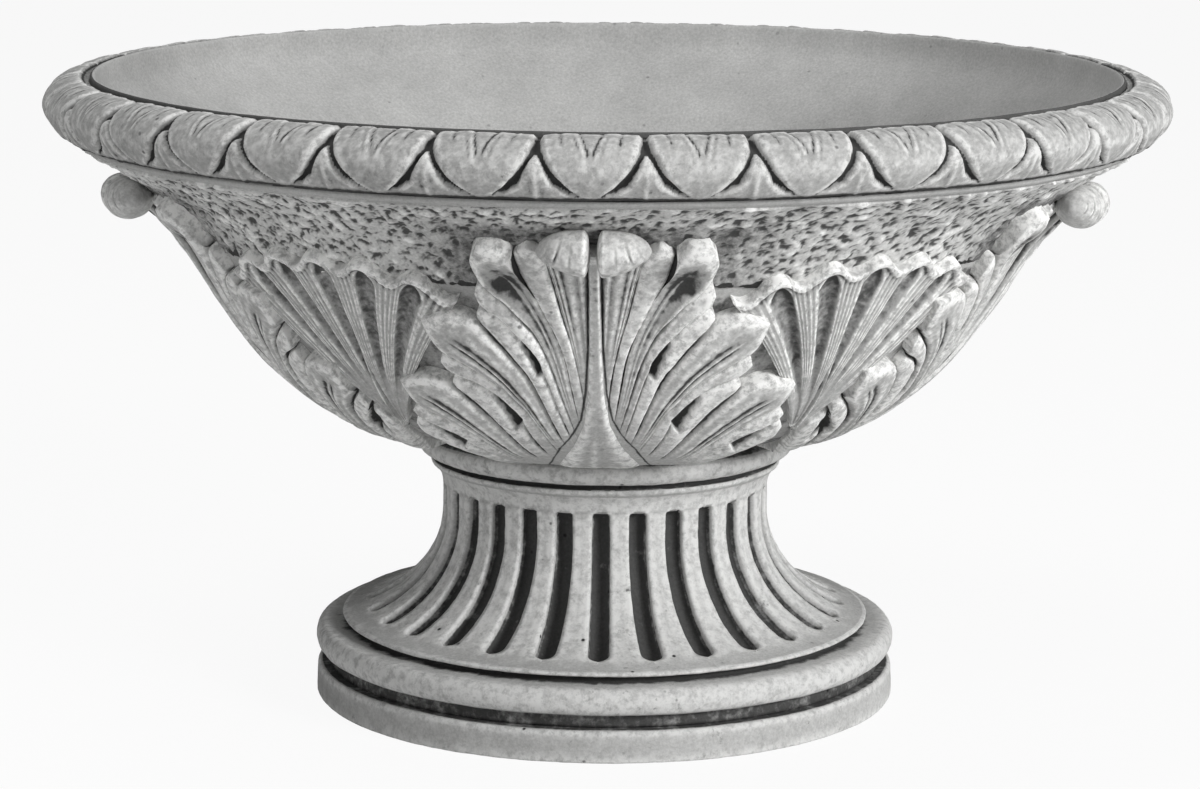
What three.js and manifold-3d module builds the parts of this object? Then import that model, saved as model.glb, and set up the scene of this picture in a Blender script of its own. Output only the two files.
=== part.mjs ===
// A cast-stone urn planter: a wide shallow bowl on a short fluted pedestal.
//
// The bowl's lip carries a moulding of two-lobed eggs and darts. Five acanthus
// leaves with curled tips and five fluted shells are planted round its belly.
// The bowl drops into the pedestal with a spigot, and lifts straight off it.
//
// Millimetres, +Z up. The origin is the middle of the ground face. One leaf
// faces -Y.
import * as THREE from 'three';
import { mergeVertices } from 'three/addons/utils/BufferGeometryUtils.js';
import Module from 'manifold-3d';

const wasm = await Module();
wasm.setup();

// ---------------------------------------------------------------- pedestal
const plinthRadius = 200;
const plinthHeight = 22;
const plinthWall = 50;            // from the rim of the plinth to its open middle
const plinthEase = 2;             // worn upper edge
const quirkHeight = 6;            // dark groove over the plinth
const quirkDepth = 4;
const rollHeight = 22;            // half-round base moulding
const rollSwell = 5;              // how far it swells past its neck
const underledgeHeight = 3;       // groove under the ledge
const ledgeRadius = 182;
const ledgeHeight = 3;
const stemRadius = 112;
const flareInset = 2;             // ledge left bare at the foot of the flare
const flareHeight = 75;           // from the ledge up to the straight stem
const stemHeight = 15;
const collarRadius = 120;
const collarHeight = 19;
const collarLip = 3;              // thin fillet round the top of the collar
const neckRollRadius = 130;
const neckRollHeight = 21;
const throatRadius = 30;          // drain way through the pedestal
const stemWall = 38;

const fluteCount = 28;
const fluteWidth = 12.5;
const fluteFootWidth = 14;
const fluteDepth = 8;

// -------------------------------------------------------- egg moulding
const rimRadius = 380;
const rimHeight = 36;
const rimUndercut = 14;           // how far its lower edge stands in from the eggs
const rimCrown = 26;              // how far its upper edge stands in
const eggCount = 36;
const eggGroundDepth = 9;         // ground of the moulding behind the eggs

// ------------------------------------------------------------------- bowl
const seatRadius = 128;           // underside of the bowl on the pedestal
const bellyRadius = 284;          // where the belly turns out into the frieze
const bellyHeight = 134.4;        // from the seat up to that turn
const friezeHeight = 63;          // from the turn up to the fillet
const filletInset = 23;           // rim moulding past the fillet that carries it
const filletHeight = 6;
const filletSwell = 4;
const lipInset = 33.4;            // rim moulding past the mouth
const lipWall = 3;                // rim groove to mouth, at the lip
const lipDraft = 8;               // how far the mouth narrows down to half the rim
const lipRise = 2;                // lip above the moulding
const wallThickness = 34;
const floorRadius = 120;
const floorThickness = 42;
const floorFall = 2;              // towards the drain
const drainRadius = 16;
const spigotRadius = 60;
const spigotLength = 17;
const spigotClearance = 2;        // round the spigot, and under it

// -------------------------------------------------- leaves and shells
const leafCount = 5;
const leafRelief = 11;
const midribFoot = 48;            // width of the midrib at its foot
const leafOverhang = 1;           // how far the feet of the leaves hang past the seat
const shellRelief = 7;
const beddingDepth = 4;           // how far the carving is modelled past its seat
const curlHalfWidth = 33;
const curlHeight = 33;
const curlDepth = 33;
const curlSlot = 3.6;             // between the two halves of a curled tip
const curlRise = 0.868;           // share of the way up the bowl's outside
const curlBed = 4;                // how much of the curl's depth is bedded away

// ------------------------------------------------------ fits and facets
const jointGap = 0.3;             // dry joint between two castings
const beddingThickness = 1.7;     // mortar between pedestal and bowl
const turnFacets = 10 * leafCount; // so each leaf and each shell lies on like facets
const pedestalFacets = 40;
const hollowFacets = 24;
const rollSteps = 3;              // facets up a half-round
const cutPast = 1;                // how far a cutting body runs past a face

const degree = Math.PI / 180;
const stone = { color: 0xa6a6a3, roughness: 0.93, metalness: 0 };
const agedStone = { color: 0x8f8f8c, roughness: 0.96, metalness: 0 };
const mortar = { color: 0xb9b7b0, roughness: 0.98, metalness: 0 };

// ------------------------------------------------------ radii and heights
const flareRadius = ledgeRadius - flareInset;
const neckRadius = collarRadius - collarLip;
const filletRadius = rimRadius - filletInset;
const lipRadius = rimRadius - lipInset;
const rollBottom = plinthHeight + quirkHeight;
const rollTop = rollBottom + rollHeight;
const ledgeTop = rollTop + underledgeHeight + ledgeHeight;
const stemBottom = ledgeTop + flareHeight;
const stemTop = stemBottom + stemHeight;
const collarTop = stemTop + collarHeight;
const pedestalTop = collarTop + neckRollHeight;
const seatHeight = pedestalTop + beddingThickness + 2 * jointGap;
const turnHeight = seatHeight + bellyHeight;
const filletBottom = turnHeight + friezeHeight;
const shoulderHeight = filletBottom + filletHeight;
const rimBottom = shoulderHeight + jointGap;
const lipHeight = rimBottom + rimHeight + lipRise;

// ------------------------------------------------------------ solid tools
function solidOf(geometry) {
  const bare = geometry.index ? geometry.clone() : geometry;
  bare.deleteAttribute('normal');
  bare.deleteAttribute('uv');
  const merged = mergeVertices(bare, 1e-4);
  const triVerts = [];
  for (let i = 0; i < merged.index.count; i += 3) {
    const [a, b, c] = merged.index.array.slice(i, i + 3);
    if (a !== b && b !== c && c !== a) triVerts.push(a, b, c);
  }
  return new wasm.Manifold(new wasm.Mesh({
    numProp: 3,
    vertProperties: new Float32Array(merged.attributes.position.array),
    triVerts: new Uint32Array(triVerts),
  }));
}

function geometryOf(solid) {
  const mesh = solid.getMesh();
  const geometry = new THREE.BufferGeometry();
  geometry.setAttribute('position', new THREE.BufferAttribute(mesh.vertProperties, 3));
  geometry.setIndex(new THREE.BufferAttribute(mesh.triVerts, 1));
  geometry.computeVertexNormals();
  return geometry;
}

function joined(solids) {
  return solids.reduce((whole, next) => whole.add(next));
}

// Revolves an outline of [radius, height] points about the Z axis. It starts
// and ends on the axis, or is closed here.
function revolved(outline, facets) {
  const ring = outline[0][0] === 0 ? outline : [...outline, outline[0]];
  const points = ring.map(([r, z]) => new THREE.Vector2(r, z));
  return solidOf(new THREE.LatheGeometry(points, facets).rotateX(Math.PI / 2));
}

// A closed body through rings of points: each ring is joined to the next, and
// the first and last are capped.
function loft(rings) {
  const size = rings[0].length;
  const positions = rings.flat().flatMap((p) => [p.x, p.y, p.z]);
  const index = [];
  for (let i = 0; i + 1 < rings.length; i += 1) {
    for (let j = 0; j < size; j += 1) {
      const a = i * size + j;
      const b = i * size + ((j + 1) % size);
      index.push(a, b, a + size, b, b + size, a + size);
    }
  }
  const last = (rings.length - 1) * size;
  for (let j = 1; j + 1 < size; j += 1) {
    index.push(0, j + 1, j, last, last + j, last + j + 1);
  }
  return facedOut(positions, index);
}

// A loft of a thin sheet: each ring is a front row and then the back row,
// and the two end caps are strips between the rows.
function sheetLoft(rings, rowLength) {
  const size = rings[0].length;
  const positions = rings.flat().flatMap((p) => [p.x, p.y, p.z]);
  const index = [];
  for (let i = 0; i + 1 < rings.length; i += 1) {
    for (let j = 0; j < size; j += 1) {
      const a = i * size + j;
      const b = i * size + ((j + 1) % size);
      index.push(a, b, a + size, b, b + size, a + size);
    }
  }
  for (const [start, flip] of [[0, true], [(rings.length - 1) * size, false]]) {
    for (let j = 0; j + 1 < rowLength; j += 1) {
      const a = start + j;
      const d = start + size - 1 - j;
      const quad = [a, a + 1, d - 1, a, d - 1, d];
      index.push(...(flip ? quad.reverse() : quad));
    }
  }
  return facedOut(positions, index);
}

// A closed body through rings that go right round the axis, capped from the
// axis at both ends, so that a ring may have hollows in it.
function turnedLoft(rings) {
  const size = rings[0].length;
  const positions = rings.flat().flatMap((p) => [p.x, p.y, p.z]);
  positions.push(0, 0, rings[0][0].z, 0, 0, rings.at(-1)[0].z);
  const index = [];
  const last = (rings.length - 1) * size;
  for (let j = 0; j < size; j += 1) {
    const next = (j + 1) % size;
    for (let start = 0; start < last; start += size) {
      const a = start + j;
      const b = start + next;
      index.push(a, b, a + size, b, b + size, a + size);
    }
    index.push(next, j, rings.length * size, last + j, last + next, rings.length * size + 1);
  }
  return facedOut(positions, index);
}

// A solid from points and triangles, turned round if its faces point inwards.
function facedOut(positions, index) {
  const geometry = new THREE.BufferGeometry();
  geometry.setAttribute('position', new THREE.Float32BufferAttribute(positions, 3));
  geometry.setIndex(index);
  const solid = solidOf(geometry);
  return solid.volume() > 0 ? solid : solidOf(geometry.setIndex([...index].reverse()));
}

function halfRound(inner, swell, bottom, top) {
  const points = [];
  for (let i = 0; i <= rollSteps; i += 1) {
    const turn = Math.PI * (i / rollSteps - 0.5);
    const middle = (bottom + top) / 2;
    points.push([inner + swell * Math.cos(turn), middle + ((top - bottom) / 2) * Math.sin(turn)]);
  }
  return points;
}

// A curve between two [radius, height] points. Its two handles stand at those
// shares of the way out and up.
function sweep([fromRadius, fromHeight], [toRadius, toHeight], { out, up }) {
  const point = (outShare, upShare) => new THREE.Vector2(
    THREE.MathUtils.lerp(fromRadius, toRadius, outShare),
    THREE.MathUtils.lerp(fromHeight, toHeight, upShare),
  );
  return new THREE.CubicBezierCurve(
    point(0, 0), point(out[0], up[0]), point(out[1], up[1]), point(1, 1),
  );
}

// ---------------------------------------------------------------- pedestal
const flareCurve = sweep(
  [flareRadius, ledgeTop],
  [stemRadius, stemBottom],
  { out: [0.5, 1], up: [0.07, 0.45] },
);

function makePlinth() {
  return revolved([
    [plinthRadius - plinthWall, 0],
    [plinthRadius, 0],
    [plinthRadius, plinthHeight - plinthEase],
    [plinthRadius - plinthEase, plinthHeight],
    [plinthRadius - plinthWall, plinthHeight],
  ], pedestalFacets);
}

// Everything under the flutes: quirk, base roll and ledge.
function baseOutline() {
  const quirk = plinthRadius - quirkDepth;
  const ledgeNeck = ledgeRadius - quirkDepth;
  return [
    [0, plinthHeight + jointGap],
    [quirk, plinthHeight + jointGap],
    [quirk, rollBottom],
    ...halfRound(plinthRadius - rollSwell, rollSwell, rollBottom, rollTop),
    [ledgeNeck, rollTop],
    [ledgeNeck, rollTop + underledgeHeight],
    [ledgeRadius, rollTop + underledgeHeight],
    [ledgeRadius, ledgeTop],
    [0, ledgeTop],
  ];
}

// Everything over the flutes: a plain band, a collar and the neck roll.
function collarOutline() {
  return [
    [0, stemTop],
    [stemRadius, stemTop],
    [neckRadius, collarTop - 2 * collarLip],
    [collarRadius, collarTop - collarLip],
    [neckRadius, collarTop],
    ...halfRound(neckRadius, neckRollRadius - neckRadius, collarTop, pedestalTop).slice(1),
    [0, pedestalTop],
  ];
}

// The socket for the spigot, the throat under it and the hollow foot.
function hollowOutline() {
  const hollow = plinthRadius - plinthWall;
  const socket = spigotRadius + spigotClearance;
  const socketFloor = seatHeight - spigotLength - spigotClearance;
  return [
    [0, plinthHeight - cutPast],
    [hollow, plinthHeight - cutPast],
    [hollow, rollTop - rollHeight / 2],
    [stemRadius - stemWall, stemBottom - flareHeight / 3],
    [stemRadius - stemWall, stemBottom],
    [throatRadius, stemTop],
    [throatRadius, socketFloor],
    [socket, socketFloor],
    [socket, pedestalTop + cutPast],
    [0, pedestalTop + cutPast],
  ];
}

// The stem between the flutes' round feet on the flare and their square tops.
// Each station has its radius and height, and whether the flutes are cut there.
// Each pitch has two corners of the fillet and two of the flute's floor.
const fluteFoot = 0.07;           // share of the flare below the flutes' feet
const fluteFloorShare = 0.7;      // width of a flute's floor, to its mouth
const fluteFootShare = 0.4;       // width of a flute's round end, to its mouth

function makeFlutedStem() {
  const stations = [fluteFoot, 0.12, 0.34, 0.64, 1].map((stop) => {
    const point = flareCurve.getPoint(stop);
    return [point.x, point.y, stop > fluteFoot];
  });
  stations.unshift([flareRadius, ledgeTop - cutPast, false]);
  stations.push([stemRadius, stemTop + 2 * cutPast, true]);
  const rings = stations.map(([radius, height, isCut], i) => {
    const share = 1 - i / (stations.length - 1);
    const width = THREE.MathUtils.lerp(fluteWidth, fluteFootWidth, share);
    const half = ((isCut ? 1 : fluteFootShare) * width) / 2 / radius;
    const floor = radius - (isCut ? fluteDepth : 0);
    const corner = fluteFloorShare * half;
    const ring = [];
    for (let k = 0; k < fluteCount; k += 1) {
      const middle = (k * 2 * Math.PI) / fluteCount - Math.PI / 2;
      for (const [turn, reach] of [[-half, radius], [-corner, floor], [corner, floor],
        [half, radius]]) {
        const angle = middle + turn;
        ring.push(new THREE.Vector3(reach * Math.cos(angle), reach * Math.sin(angle), height));
      }
    }
    return ring;
  });
  return turnedLoft(rings);
}

function makePedestal() {
  const below = revolved(baseOutline(), pedestalFacets);
  const above = revolved(collarOutline(), pedestalFacets);
  return joined([below, makeFlutedStem(), above])
    .subtract(revolved(hollowOutline(), hollowFacets));
}

function makeBedding() {
  const bottom = pedestalTop + jointGap;
  const inner = spigotRadius + 3 * spigotClearance;
  return revolved([
    [inner, bottom],
    [neckRadius, bottom],
    [neckRadius + beddingThickness / 2, bottom + beddingThickness / 2],
    [neckRadius, bottom + beddingThickness],
    [inner, bottom + beddingThickness],
  ], hollowFacets);
}

// -------------------------------------------------------------------- bowl
// The bowl's outside in section: a full belly from the seat to the turn, then
// a hollow frieze that sweeps out to the fillet under the moulding.
const bowlProfile = new THREE.CurvePath();
bowlProfile.add(sweep(
  [seatRadius, seatHeight],
  [bellyRadius, turnHeight],
  { out: [0.56, 0.75], up: [0.12, 0.55] },
));
bowlProfile.add(sweep(
  [bellyRadius, turnHeight],
  [filletRadius, filletBottom],
  { out: [0.25, 0.63], up: [0.44, 0.82] },
));
const profileLength = bowlProfile.getLength();

// A point on the bowl: azimuth in degrees from the front, rise as a share of
// the way up the profile, lift in millimetres out from the surface.
function onBowl(azimuth, rise, lift) {
  const share = THREE.MathUtils.clamp(rise, 0, 1);
  const point = bowlProfile.getPointAt(share);
  const along = bowlProfile.getTangentAt(share);
  const radius = point.x + along.y * lift;
  const past = (rise - share) * profileLength;
  return new THREE.Vector3(
    (radius + along.x * past) * Math.sin(azimuth * degree),
    -(radius + along.x * past) * Math.cos(azimuth * degree),
    point.y - along.x * lift + along.y * past,
  );
}

function radiusAt(rise) {
  return bowlProfile.getPointAt(THREE.MathUtils.clamp(rise, 0, 1)).x;
}

const outsideRises = [0, 0.12, 0.27, 0.44, 0.6, 0.76, 0.89, 1];
const insideRises = [0.94, 0.74, 0.52, 0.3];
const wallThinning = 0.25;        // share of the wall's thickness lost by the top

// The outside wall of the bowl from its seat to its fillet, pushed out by lift.
function outsideWall(lift) {
  return outsideRises.map((rise) => {
    const point = onBowl(0, rise, lift);
    return [-point.y, point.z];
  });
}

function insideWall() {
  return insideRises.map((rise) => {
    const point = onBowl(0, rise, -wallThickness * (1 - wallThinning * rise));
    return [-point.y, point.z];
  });
}

function bowlOutline() {
  const rimInner = lipRadius + lipWall;
  const floor = seatHeight + floorThickness;
  return [
    [drainRadius, seatHeight - spigotLength],
    [spigotRadius, seatHeight - spigotLength],
    [spigotRadius, seatHeight],
    ...outsideWall(0),
    [filletRadius + filletSwell, filletBottom + filletHeight / 3],
    [filletRadius + filletSwell, shoulderHeight],
    [rimInner, shoulderHeight],
    [rimInner, lipHeight - lipRise],
    [lipRadius + lipWall / 3, lipHeight],
    [lipRadius, lipHeight - lipRise],
    [lipRadius - lipDraft, shoulderHeight + rimHeight / 2],
    ...insideWall(),
    [floorRadius, floor],
    [drainRadius, floor - floorFall],
  ];
}

// ------------------------------------------------------------ egg moulding
// One pitch of the moulding, from a dart to the next: where each line stands
// in the pitch, and how far out of the ground it comes at the bottom, the
// middle and the top of the moulding.
const eggLines = [
  { at: 0, out: [0.75, 0.35, 0.1] },
  { at: 0.13, out: [0.05, 0.1, 0.1] },
  { at: 0.3, out: [0.85, 1, 0.75] },
  { at: 0.5, out: [0.95, 0.6, 0.15] },
  { at: 0.7, out: [0.85, 1, 0.75] },
  { at: 0.87, out: [0.05, 0.1, 0.1] },
];

function makeRim() {
  const inner = lipRadius + lipWall + jointGap;
  const top = rimBottom + rimHeight;
  const ground = rimRadius - eggGroundDepth;
  const rows = [
    { height: rimBottom, radius: rimRadius - rimUndercut, out: 0, band: 0 },
    { height: rimBottom + 0.25 * rimHeight, radius: ground - 0.2 * rimUndercut, out: 1, band: 0 },
    { height: rimBottom + 0.52 * rimHeight, radius: ground, out: 1, band: 1 },
    { height: rimBottom + 0.8 * rimHeight, radius: ground - 0.23 * rimCrown, out: 0.9, band: 2 },
    { height: top, radius: rimRadius - rimCrown, out: 0, band: 2 },
  ];
  const rings = rows.map((row) => {
    const ring = [];
    for (let i = 0; i < eggCount; i += 1) {
      for (const line of eggLines) {
        const angle = ((i + line.at) / eggCount) * 2 * Math.PI - Math.PI / 2;
        const radius = row.radius + row.out * line.out[row.band] * eggGroundDepth;
        ring.push(new THREE.Vector3(radius * Math.cos(angle), radius * Math.sin(angle), row.height));
      }
    }
    return ring;
  });
  const bore = revolved([
    [0, rimBottom - cutPast], [inner, rimBottom - cutPast],
    [inner, top + cutPast], [0, top + cutPast],
  ], turnFacets);
  return turnedLoft(rings).subtract(bore);
}

// ------------------------------------------------------------------ leaves
const fanTop = 0.812;             // rise of the leaf's middle, under the curl
const fanTopShare = 0.8;          // relief left there

// Half a leaf is a fan of lines that all rise beside the foot of the midrib.
// Crests end at the tips of the leaflets, grooves at the notches between them,
// and an eye is a deep groove between two tiers of leaflets. Each line has its
// end, its bend and its root, as degrees from the midrib and rise up the bowl.
const fanLines = [
  { kind: 'groove', end: [0.5, fanTop], bend: [0.6, 0.5], root: [1.7, 0.1] },
  { kind: 'middle', end: [5, fanTop], bend: [4.2, 0.5], root: [2.6, 0.12] },
  { kind: 'groove', end: [8.8, 0.83], bend: [6.6, 0.5], root: [2.9, 0.13] },
  { kind: 'knob', end: [12.3, 0.88], bend: [8.2, 0.54], root: [3.1, 0.13] },
  { kind: 'groove', end: [12.2, 0.775], bend: [9.4, 0.5], root: [3.4, 0.13] },
  { kind: 'crest', end: [14.5, 0.735], bend: [9.9, 0.49], root: [3.5, 0.13] },
  { kind: 'eye', end: [11.8, 0.69], bend: [10.3, 0.47], root: [3.6, 0.12] },
  { kind: 'crest', end: [14.4, 0.665], bend: [11.2, 0.45], root: [3.8, 0.12] },
  { kind: 'groove', end: [16, 0.6], bend: [12, 0.43], root: [3.9, 0.12] },
  { kind: 'crest', end: [21.6, 0.652], bend: [14.2, 0.41], root: [4.2, 0.11] },
  { kind: 'groove', end: [19.8, 0.565], bend: [15.4, 0.37], root: [4.5, 0.1] },
  { kind: 'crest', end: [22.1, 0.545], bend: [16, 0.35], root: [4.8, 0.1] },
  { kind: 'eye', end: [18.6, 0.465], bend: [15.4, 0.32], root: [4.9, 0.09] },
  { kind: 'crest', end: [21.2, 0.478], bend: [16.5, 0.3], root: [5.2, 0.08] },
  { kind: 'groove', end: [22.6, 0.43], bend: [17.2, 0.27], root: [5.5, 0.07] },
  { kind: 'crest', end: [29.2, 0.478], bend: [20.6, 0.25], root: [5.9, 0.055] },
  { kind: 'groove', end: [28, 0.385], bend: [22, 0.18], root: [6.6, 0.04] },
  { kind: 'crest', end: [31, 0.37], bend: [24, 0.15], root: [7, 0.03] },
  { kind: 'groove', end: [28, 0.285], bend: [22, 0.1], root: [7.4, 0.02] },
];
// Lift of each kind of line at its root, bend and end, in shares of the relief.
const fanLifts = {
  groove: [0.7, 0.5, 0.45],
  middle: [0.7, 0.82, fanTopShare],
  crest: [0.7, 0.9, 1],
  knob: [0.7, 0.95, 1.5],
  eye: [0.7, 0.2, 0.2],
};
const bendStep = 0.6;             // how far up a line its bend is
const fanSteps = [0, 0.27, 0.52, 0.77, 1];

function fanPoint({ kind, end, bend, root }, step) {
  const line = new THREE.QuadraticBezierCurve(
    new THREE.Vector2(...root), new THREE.Vector2(...bend), new THREE.Vector2(...end),
  );
  const { x: azimuth, y: rise } = line.getPoint(step);
  const [atRoot, atBend, atEnd] = fanLifts[kind];
  const share = step < bendStep
    ? THREE.MathUtils.mapLinear(step, 0, bendStep, atRoot, atBend)
    : THREE.MathUtils.mapLinear(step, bendStep, 1, atBend, atEnd);
  return { azimuth, rise, lift: share * leafRelief };
}

function makeHalfLeaf(side) {
  const rings = fanSteps.map((step) => {
    const points = fanLines.map((line) => fanPoint(line, step));
    const front = points.map((p) => onBowl(side * p.azimuth, p.rise, p.lift));
    const back = points.map((p) => onBowl(side * p.azimuth, p.rise, -beddingDepth));
    return [...front, ...back.reverse()];
  });
  return sheetLoft(rings, fanLines.length);
}

function midribLift(rise) {
  return THREE.MathUtils.mapLinear(rise, 0, fanTop, leafRelief, fanTopShare * leafRelief);
}

// The midrib tapers from a broad foot to a thin cord under the curled tip. Its
// stations are rises with the share of the foot's width that is left there.
const midribStations = [[0.015, 1], [0.1, 0.75], [0.25, 0.42], [0.5, 0.25], [fanTop, 0.2]];
const midribFlat = 0.6;           // width of its flat face, to its width

function makeMidrib() {
  return loft(midribStations.map(([rise, share]) => {
    const spread = (share * midribFoot) / 2 / (radiusAt(rise) * degree);
    return [
      onBowl(-spread, rise, -beddingDepth),
      onBowl(-midribFlat * spread, rise, midribLift(rise)),
      onBowl(midribFlat * spread, rise, midribLift(rise)),
      onBowl(spread, rise, -beddingDepth),
    ];
  }));
}

const bowlKeepOut = revolved([
  [0, seatHeight - cutPast],
  ...outsideWall(jointGap),
  [filletRadius + filletSwell, shoulderHeight],
  [0, shoulderHeight],
], turnFacets);

function makeLeaf() {
  const whole = joined([makeMidrib(), makeHalfLeaf(-1), makeHalfLeaf(1)]);
  const level = new THREE.BoxGeometry(4 * seatRadius, 4 * seatRadius, seatHeight)
    .translate(0, 0, seatHeight / 2 - leafOverhang);
  return whole.subtract(bowlKeepOut).subtract(solidOf(level));
}

// The curled tip: two rounded halves with a slot between them. It is bedded on
// the frieze just over the end of the leaf, and hangs out past it.
function makeCurl() {
  const middle = onBowl(0, curlRise, curlDepth / 2 - curlBed);
  const half = (curlHalfWidth - curlSlot / 2) / 2;
  const halves = [-1, 1].map((side) => {
    const knob = new THREE.SphereGeometry(1, 8, 5).rotateZ(Math.PI / 2);
    knob.scale(half, curlDepth / 2, curlHeight / 2);
    return solidOf(knob).translate([side * (half + curlSlot / 2), 0, 0]);
  });
  const coreRadius = 0.3 * curlDepth;
  const core = solidOf(new THREE.CylinderGeometry(coreRadius, coreRadius, half * 2, 6)
    .rotateZ(Math.PI / 2)).translate([0, coreRadius / 2, 0]);
  return joined([...halves, core]).translate(middle.toArray())
    .subtract(bowlKeepOut).subtract(leafEndKeepOut());
}

// The room that the end of the leaf takes up under the curled tip.
function leafEndKeepOut() {
  const reach = (curlHalfWidth + curlSlot) / (radiusAt(fanTop) * degree);
  const lift = fanTopShare * leafRelief + 2 * jointGap;
  const top = fanTop + jointGap / profileLength;
  return loft([top - 0.2, top - 0.1, top].map((rise) => [
    onBowl(-reach, rise, -wallThickness), onBowl(-reach, rise, lift),
    onBowl(reach, rise, lift), onBowl(reach, rise, -wallThickness),
  ]));
}

// ------------------------------------------------------------------ shells
// A shell fans from a point between two leaves up to a scalloped edge. Its
// channels are hollow and the ribs between them stand up. Its sides keep clear
// of the leaflets: shellSides gives the room there, as rise and half width.
const shellChannels = 5;
const shellFoot = { rise: 0.33, half: 1.2 };
const shellEdge = { rise: 0.75, half: 19, scallop: 0.018, droop: 0.085 };
const shellSides = [
  [0.33, 1.2], [0.38, 4], [0.46, 5], [0.5, 10], [0.53, 12.6], [0.645, 12.6], [0.69, 18], [0.8, 19.5],
];
const shellRows = shellSides.slice(0, -1).map(([rise]) => rise);
const channelShare = 0.5;         // relief left in the channels

function sideRoom(rise) {
  const next = shellSides.findIndex(([at]) => at >= rise);
  if (next <= 0) return shellSides.at(next)[1];
  const [[fromRise, from], [toRise, to]] = [shellSides[next - 1], shellSides[next]];
  return THREE.MathUtils.mapLinear(rise, fromRise, toRise, from, to);
}

function shellAzimuth(way, rise) {
  const climb = (rise - shellFoot.rise) / (shellEdge.rise - shellFoot.rise);
  const fan = THREE.MathUtils.lerp(shellFoot.half, shellEdge.half, climb);
  const room = sideRoom(rise) * (0.9 + 0.1 * Math.abs(way));
  return Math.sign(way) * Math.min(Math.abs(way) * fan, room);
}

function makeShell() {
  const across = shellChannels * 2;
  const rings = [...shellRows, 'edge'].map((row) => {
    const front = [];
    const back = [];
    for (let j = 0; j <= across; j += 1) {
      const way = (2 * j) / across - 1;
      const isChannel = j % 2 === 1;
      const edge = shellEdge.rise - shellEdge.droop * way * way
        + (isChannel ? shellEdge.scallop : -shellEdge.scallop);
      const rise = row === 'edge' ? edge : row;
      const lift = shellRelief * (isChannel ? channelShare : 1);
      const azimuth = shellAzimuth(way, rise);
      front.push(onBowl(azimuth, rise, lift));
      back.unshift(onBowl(azimuth, rise, -beddingDepth));
    }
    return [...front, ...back];
  });
  return sheetLoft(rings, across + 1).subtract(bowlKeepOut);
}

// ---------------------------------------------------------------- assembly
const urn = new THREE.Group();

function place(parent, name, solid, finish, turn = 0) {
  const mesh = new THREE.Mesh(geometryOf(solid), new THREE.MeshStandardMaterial(finish));
  mesh.name = name;
  mesh.rotation.z = turn * degree;
  parent.add(mesh);
}

const pedestalGroup = new THREE.Group();
place(pedestalGroup, 'plinth_ring', makePlinth(), agedStone);
place(pedestalGroup, 'fluted_pedestal', makePedestal(), stone);
place(pedestalGroup, 'mortar_bed', makeBedding(), mortar);
urn.add(pedestalGroup);

const bowlGroup = new THREE.Group();
place(bowlGroup, 'bowl_shell', revolved(bowlOutline(), turnFacets), stone);
place(bowlGroup, 'egg_and_dart_rim', makeRim(), stone);
const leaf = makeLeaf();
const curl = makeCurl();
const shell = makeShell();
const leafPitch = 360 / leafCount;
for (let i = 0; i < leafCount; i += 1) {
  place(bowlGroup, `acanthus_leaf_${i + 1}`, leaf, stone, i * leafPitch);
  place(bowlGroup, `curled_leaf_tip_${i + 1}`, curl, stone, i * leafPitch);
  place(bowlGroup, `shell_palmette_${i + 1}`, shell, stone, (i + 0.5) * leafPitch);
}
urn.add(bowlGroup);

export default urn;
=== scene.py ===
# An urn planter in weathered cast stone: a wide carved bowl on a fluted pedestal.
# Metres, +Z up, one acanthus leaf facing -Y.
import math
from collections import namedtuple

import bpy
import numpy as np
from mathutils import Matrix, Vector


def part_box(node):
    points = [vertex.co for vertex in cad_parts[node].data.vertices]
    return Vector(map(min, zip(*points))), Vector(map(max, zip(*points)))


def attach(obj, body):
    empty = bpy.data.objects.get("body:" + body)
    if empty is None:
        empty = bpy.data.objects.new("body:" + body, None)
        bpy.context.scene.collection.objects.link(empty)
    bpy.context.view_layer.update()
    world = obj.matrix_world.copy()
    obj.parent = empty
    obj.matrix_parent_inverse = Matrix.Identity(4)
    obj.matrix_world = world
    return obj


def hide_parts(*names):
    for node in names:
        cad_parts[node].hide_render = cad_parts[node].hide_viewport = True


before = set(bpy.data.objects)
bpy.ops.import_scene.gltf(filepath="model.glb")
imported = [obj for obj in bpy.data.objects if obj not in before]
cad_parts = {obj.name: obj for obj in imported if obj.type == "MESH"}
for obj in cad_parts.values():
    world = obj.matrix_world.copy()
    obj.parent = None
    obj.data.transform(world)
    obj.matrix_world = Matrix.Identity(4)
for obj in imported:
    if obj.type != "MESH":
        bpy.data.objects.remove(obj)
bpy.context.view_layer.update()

MM = 0.001


# ---------------------------------------------------------------- sizes from the frame
def reach(node):
    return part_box(node)[1][0]


def span(node):
    low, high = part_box(node)
    return low[2], high[2]


SPIGOT_LENGTH = 17 * MM
SPIGOT_RADIUS = 60 * MM
DRAIN_RADIUS = 16 * MM
SEAT_RADIUS = 128 * MM
BELLY_RADIUS = 284 * MM
BELLY_HEIGHT = 134.4 * MM
FRIEZE_HEIGHT = 63 * MM
FILLET_RADIUS = 357 * MM
FILLET_HEIGHT = 6 * MM
LIP_RADIUS = 346.6 * MM
WALL = 34 * MM
FLOOR_RADIUS = 120 * MM
FLOOR_THICKNESS = 42 * MM

RIM_BOTTOM, RIM_TOP = span("egg_and_dart_rim")
LIP_TOP = span("bowl_shell")[1]
SEAT_Z = span("bowl_shell")[0] + SPIGOT_LENGTH
TURN_Z = SEAT_Z + BELLY_HEIGHT
FILLET_Z = TURN_Z + FRIEZE_HEIGHT
PLINTH_TOP = span("plinth_ring")[1]
PLINTH_RADIUS = reach("plinth_ring")
PEDESTAL_BOTTOM, PEDESTAL_TOP = span("fluted_pedestal")

LEAF_COUNT = 5
EGG_COUNT = 36
FLUTE_COUNT = 28


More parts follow.
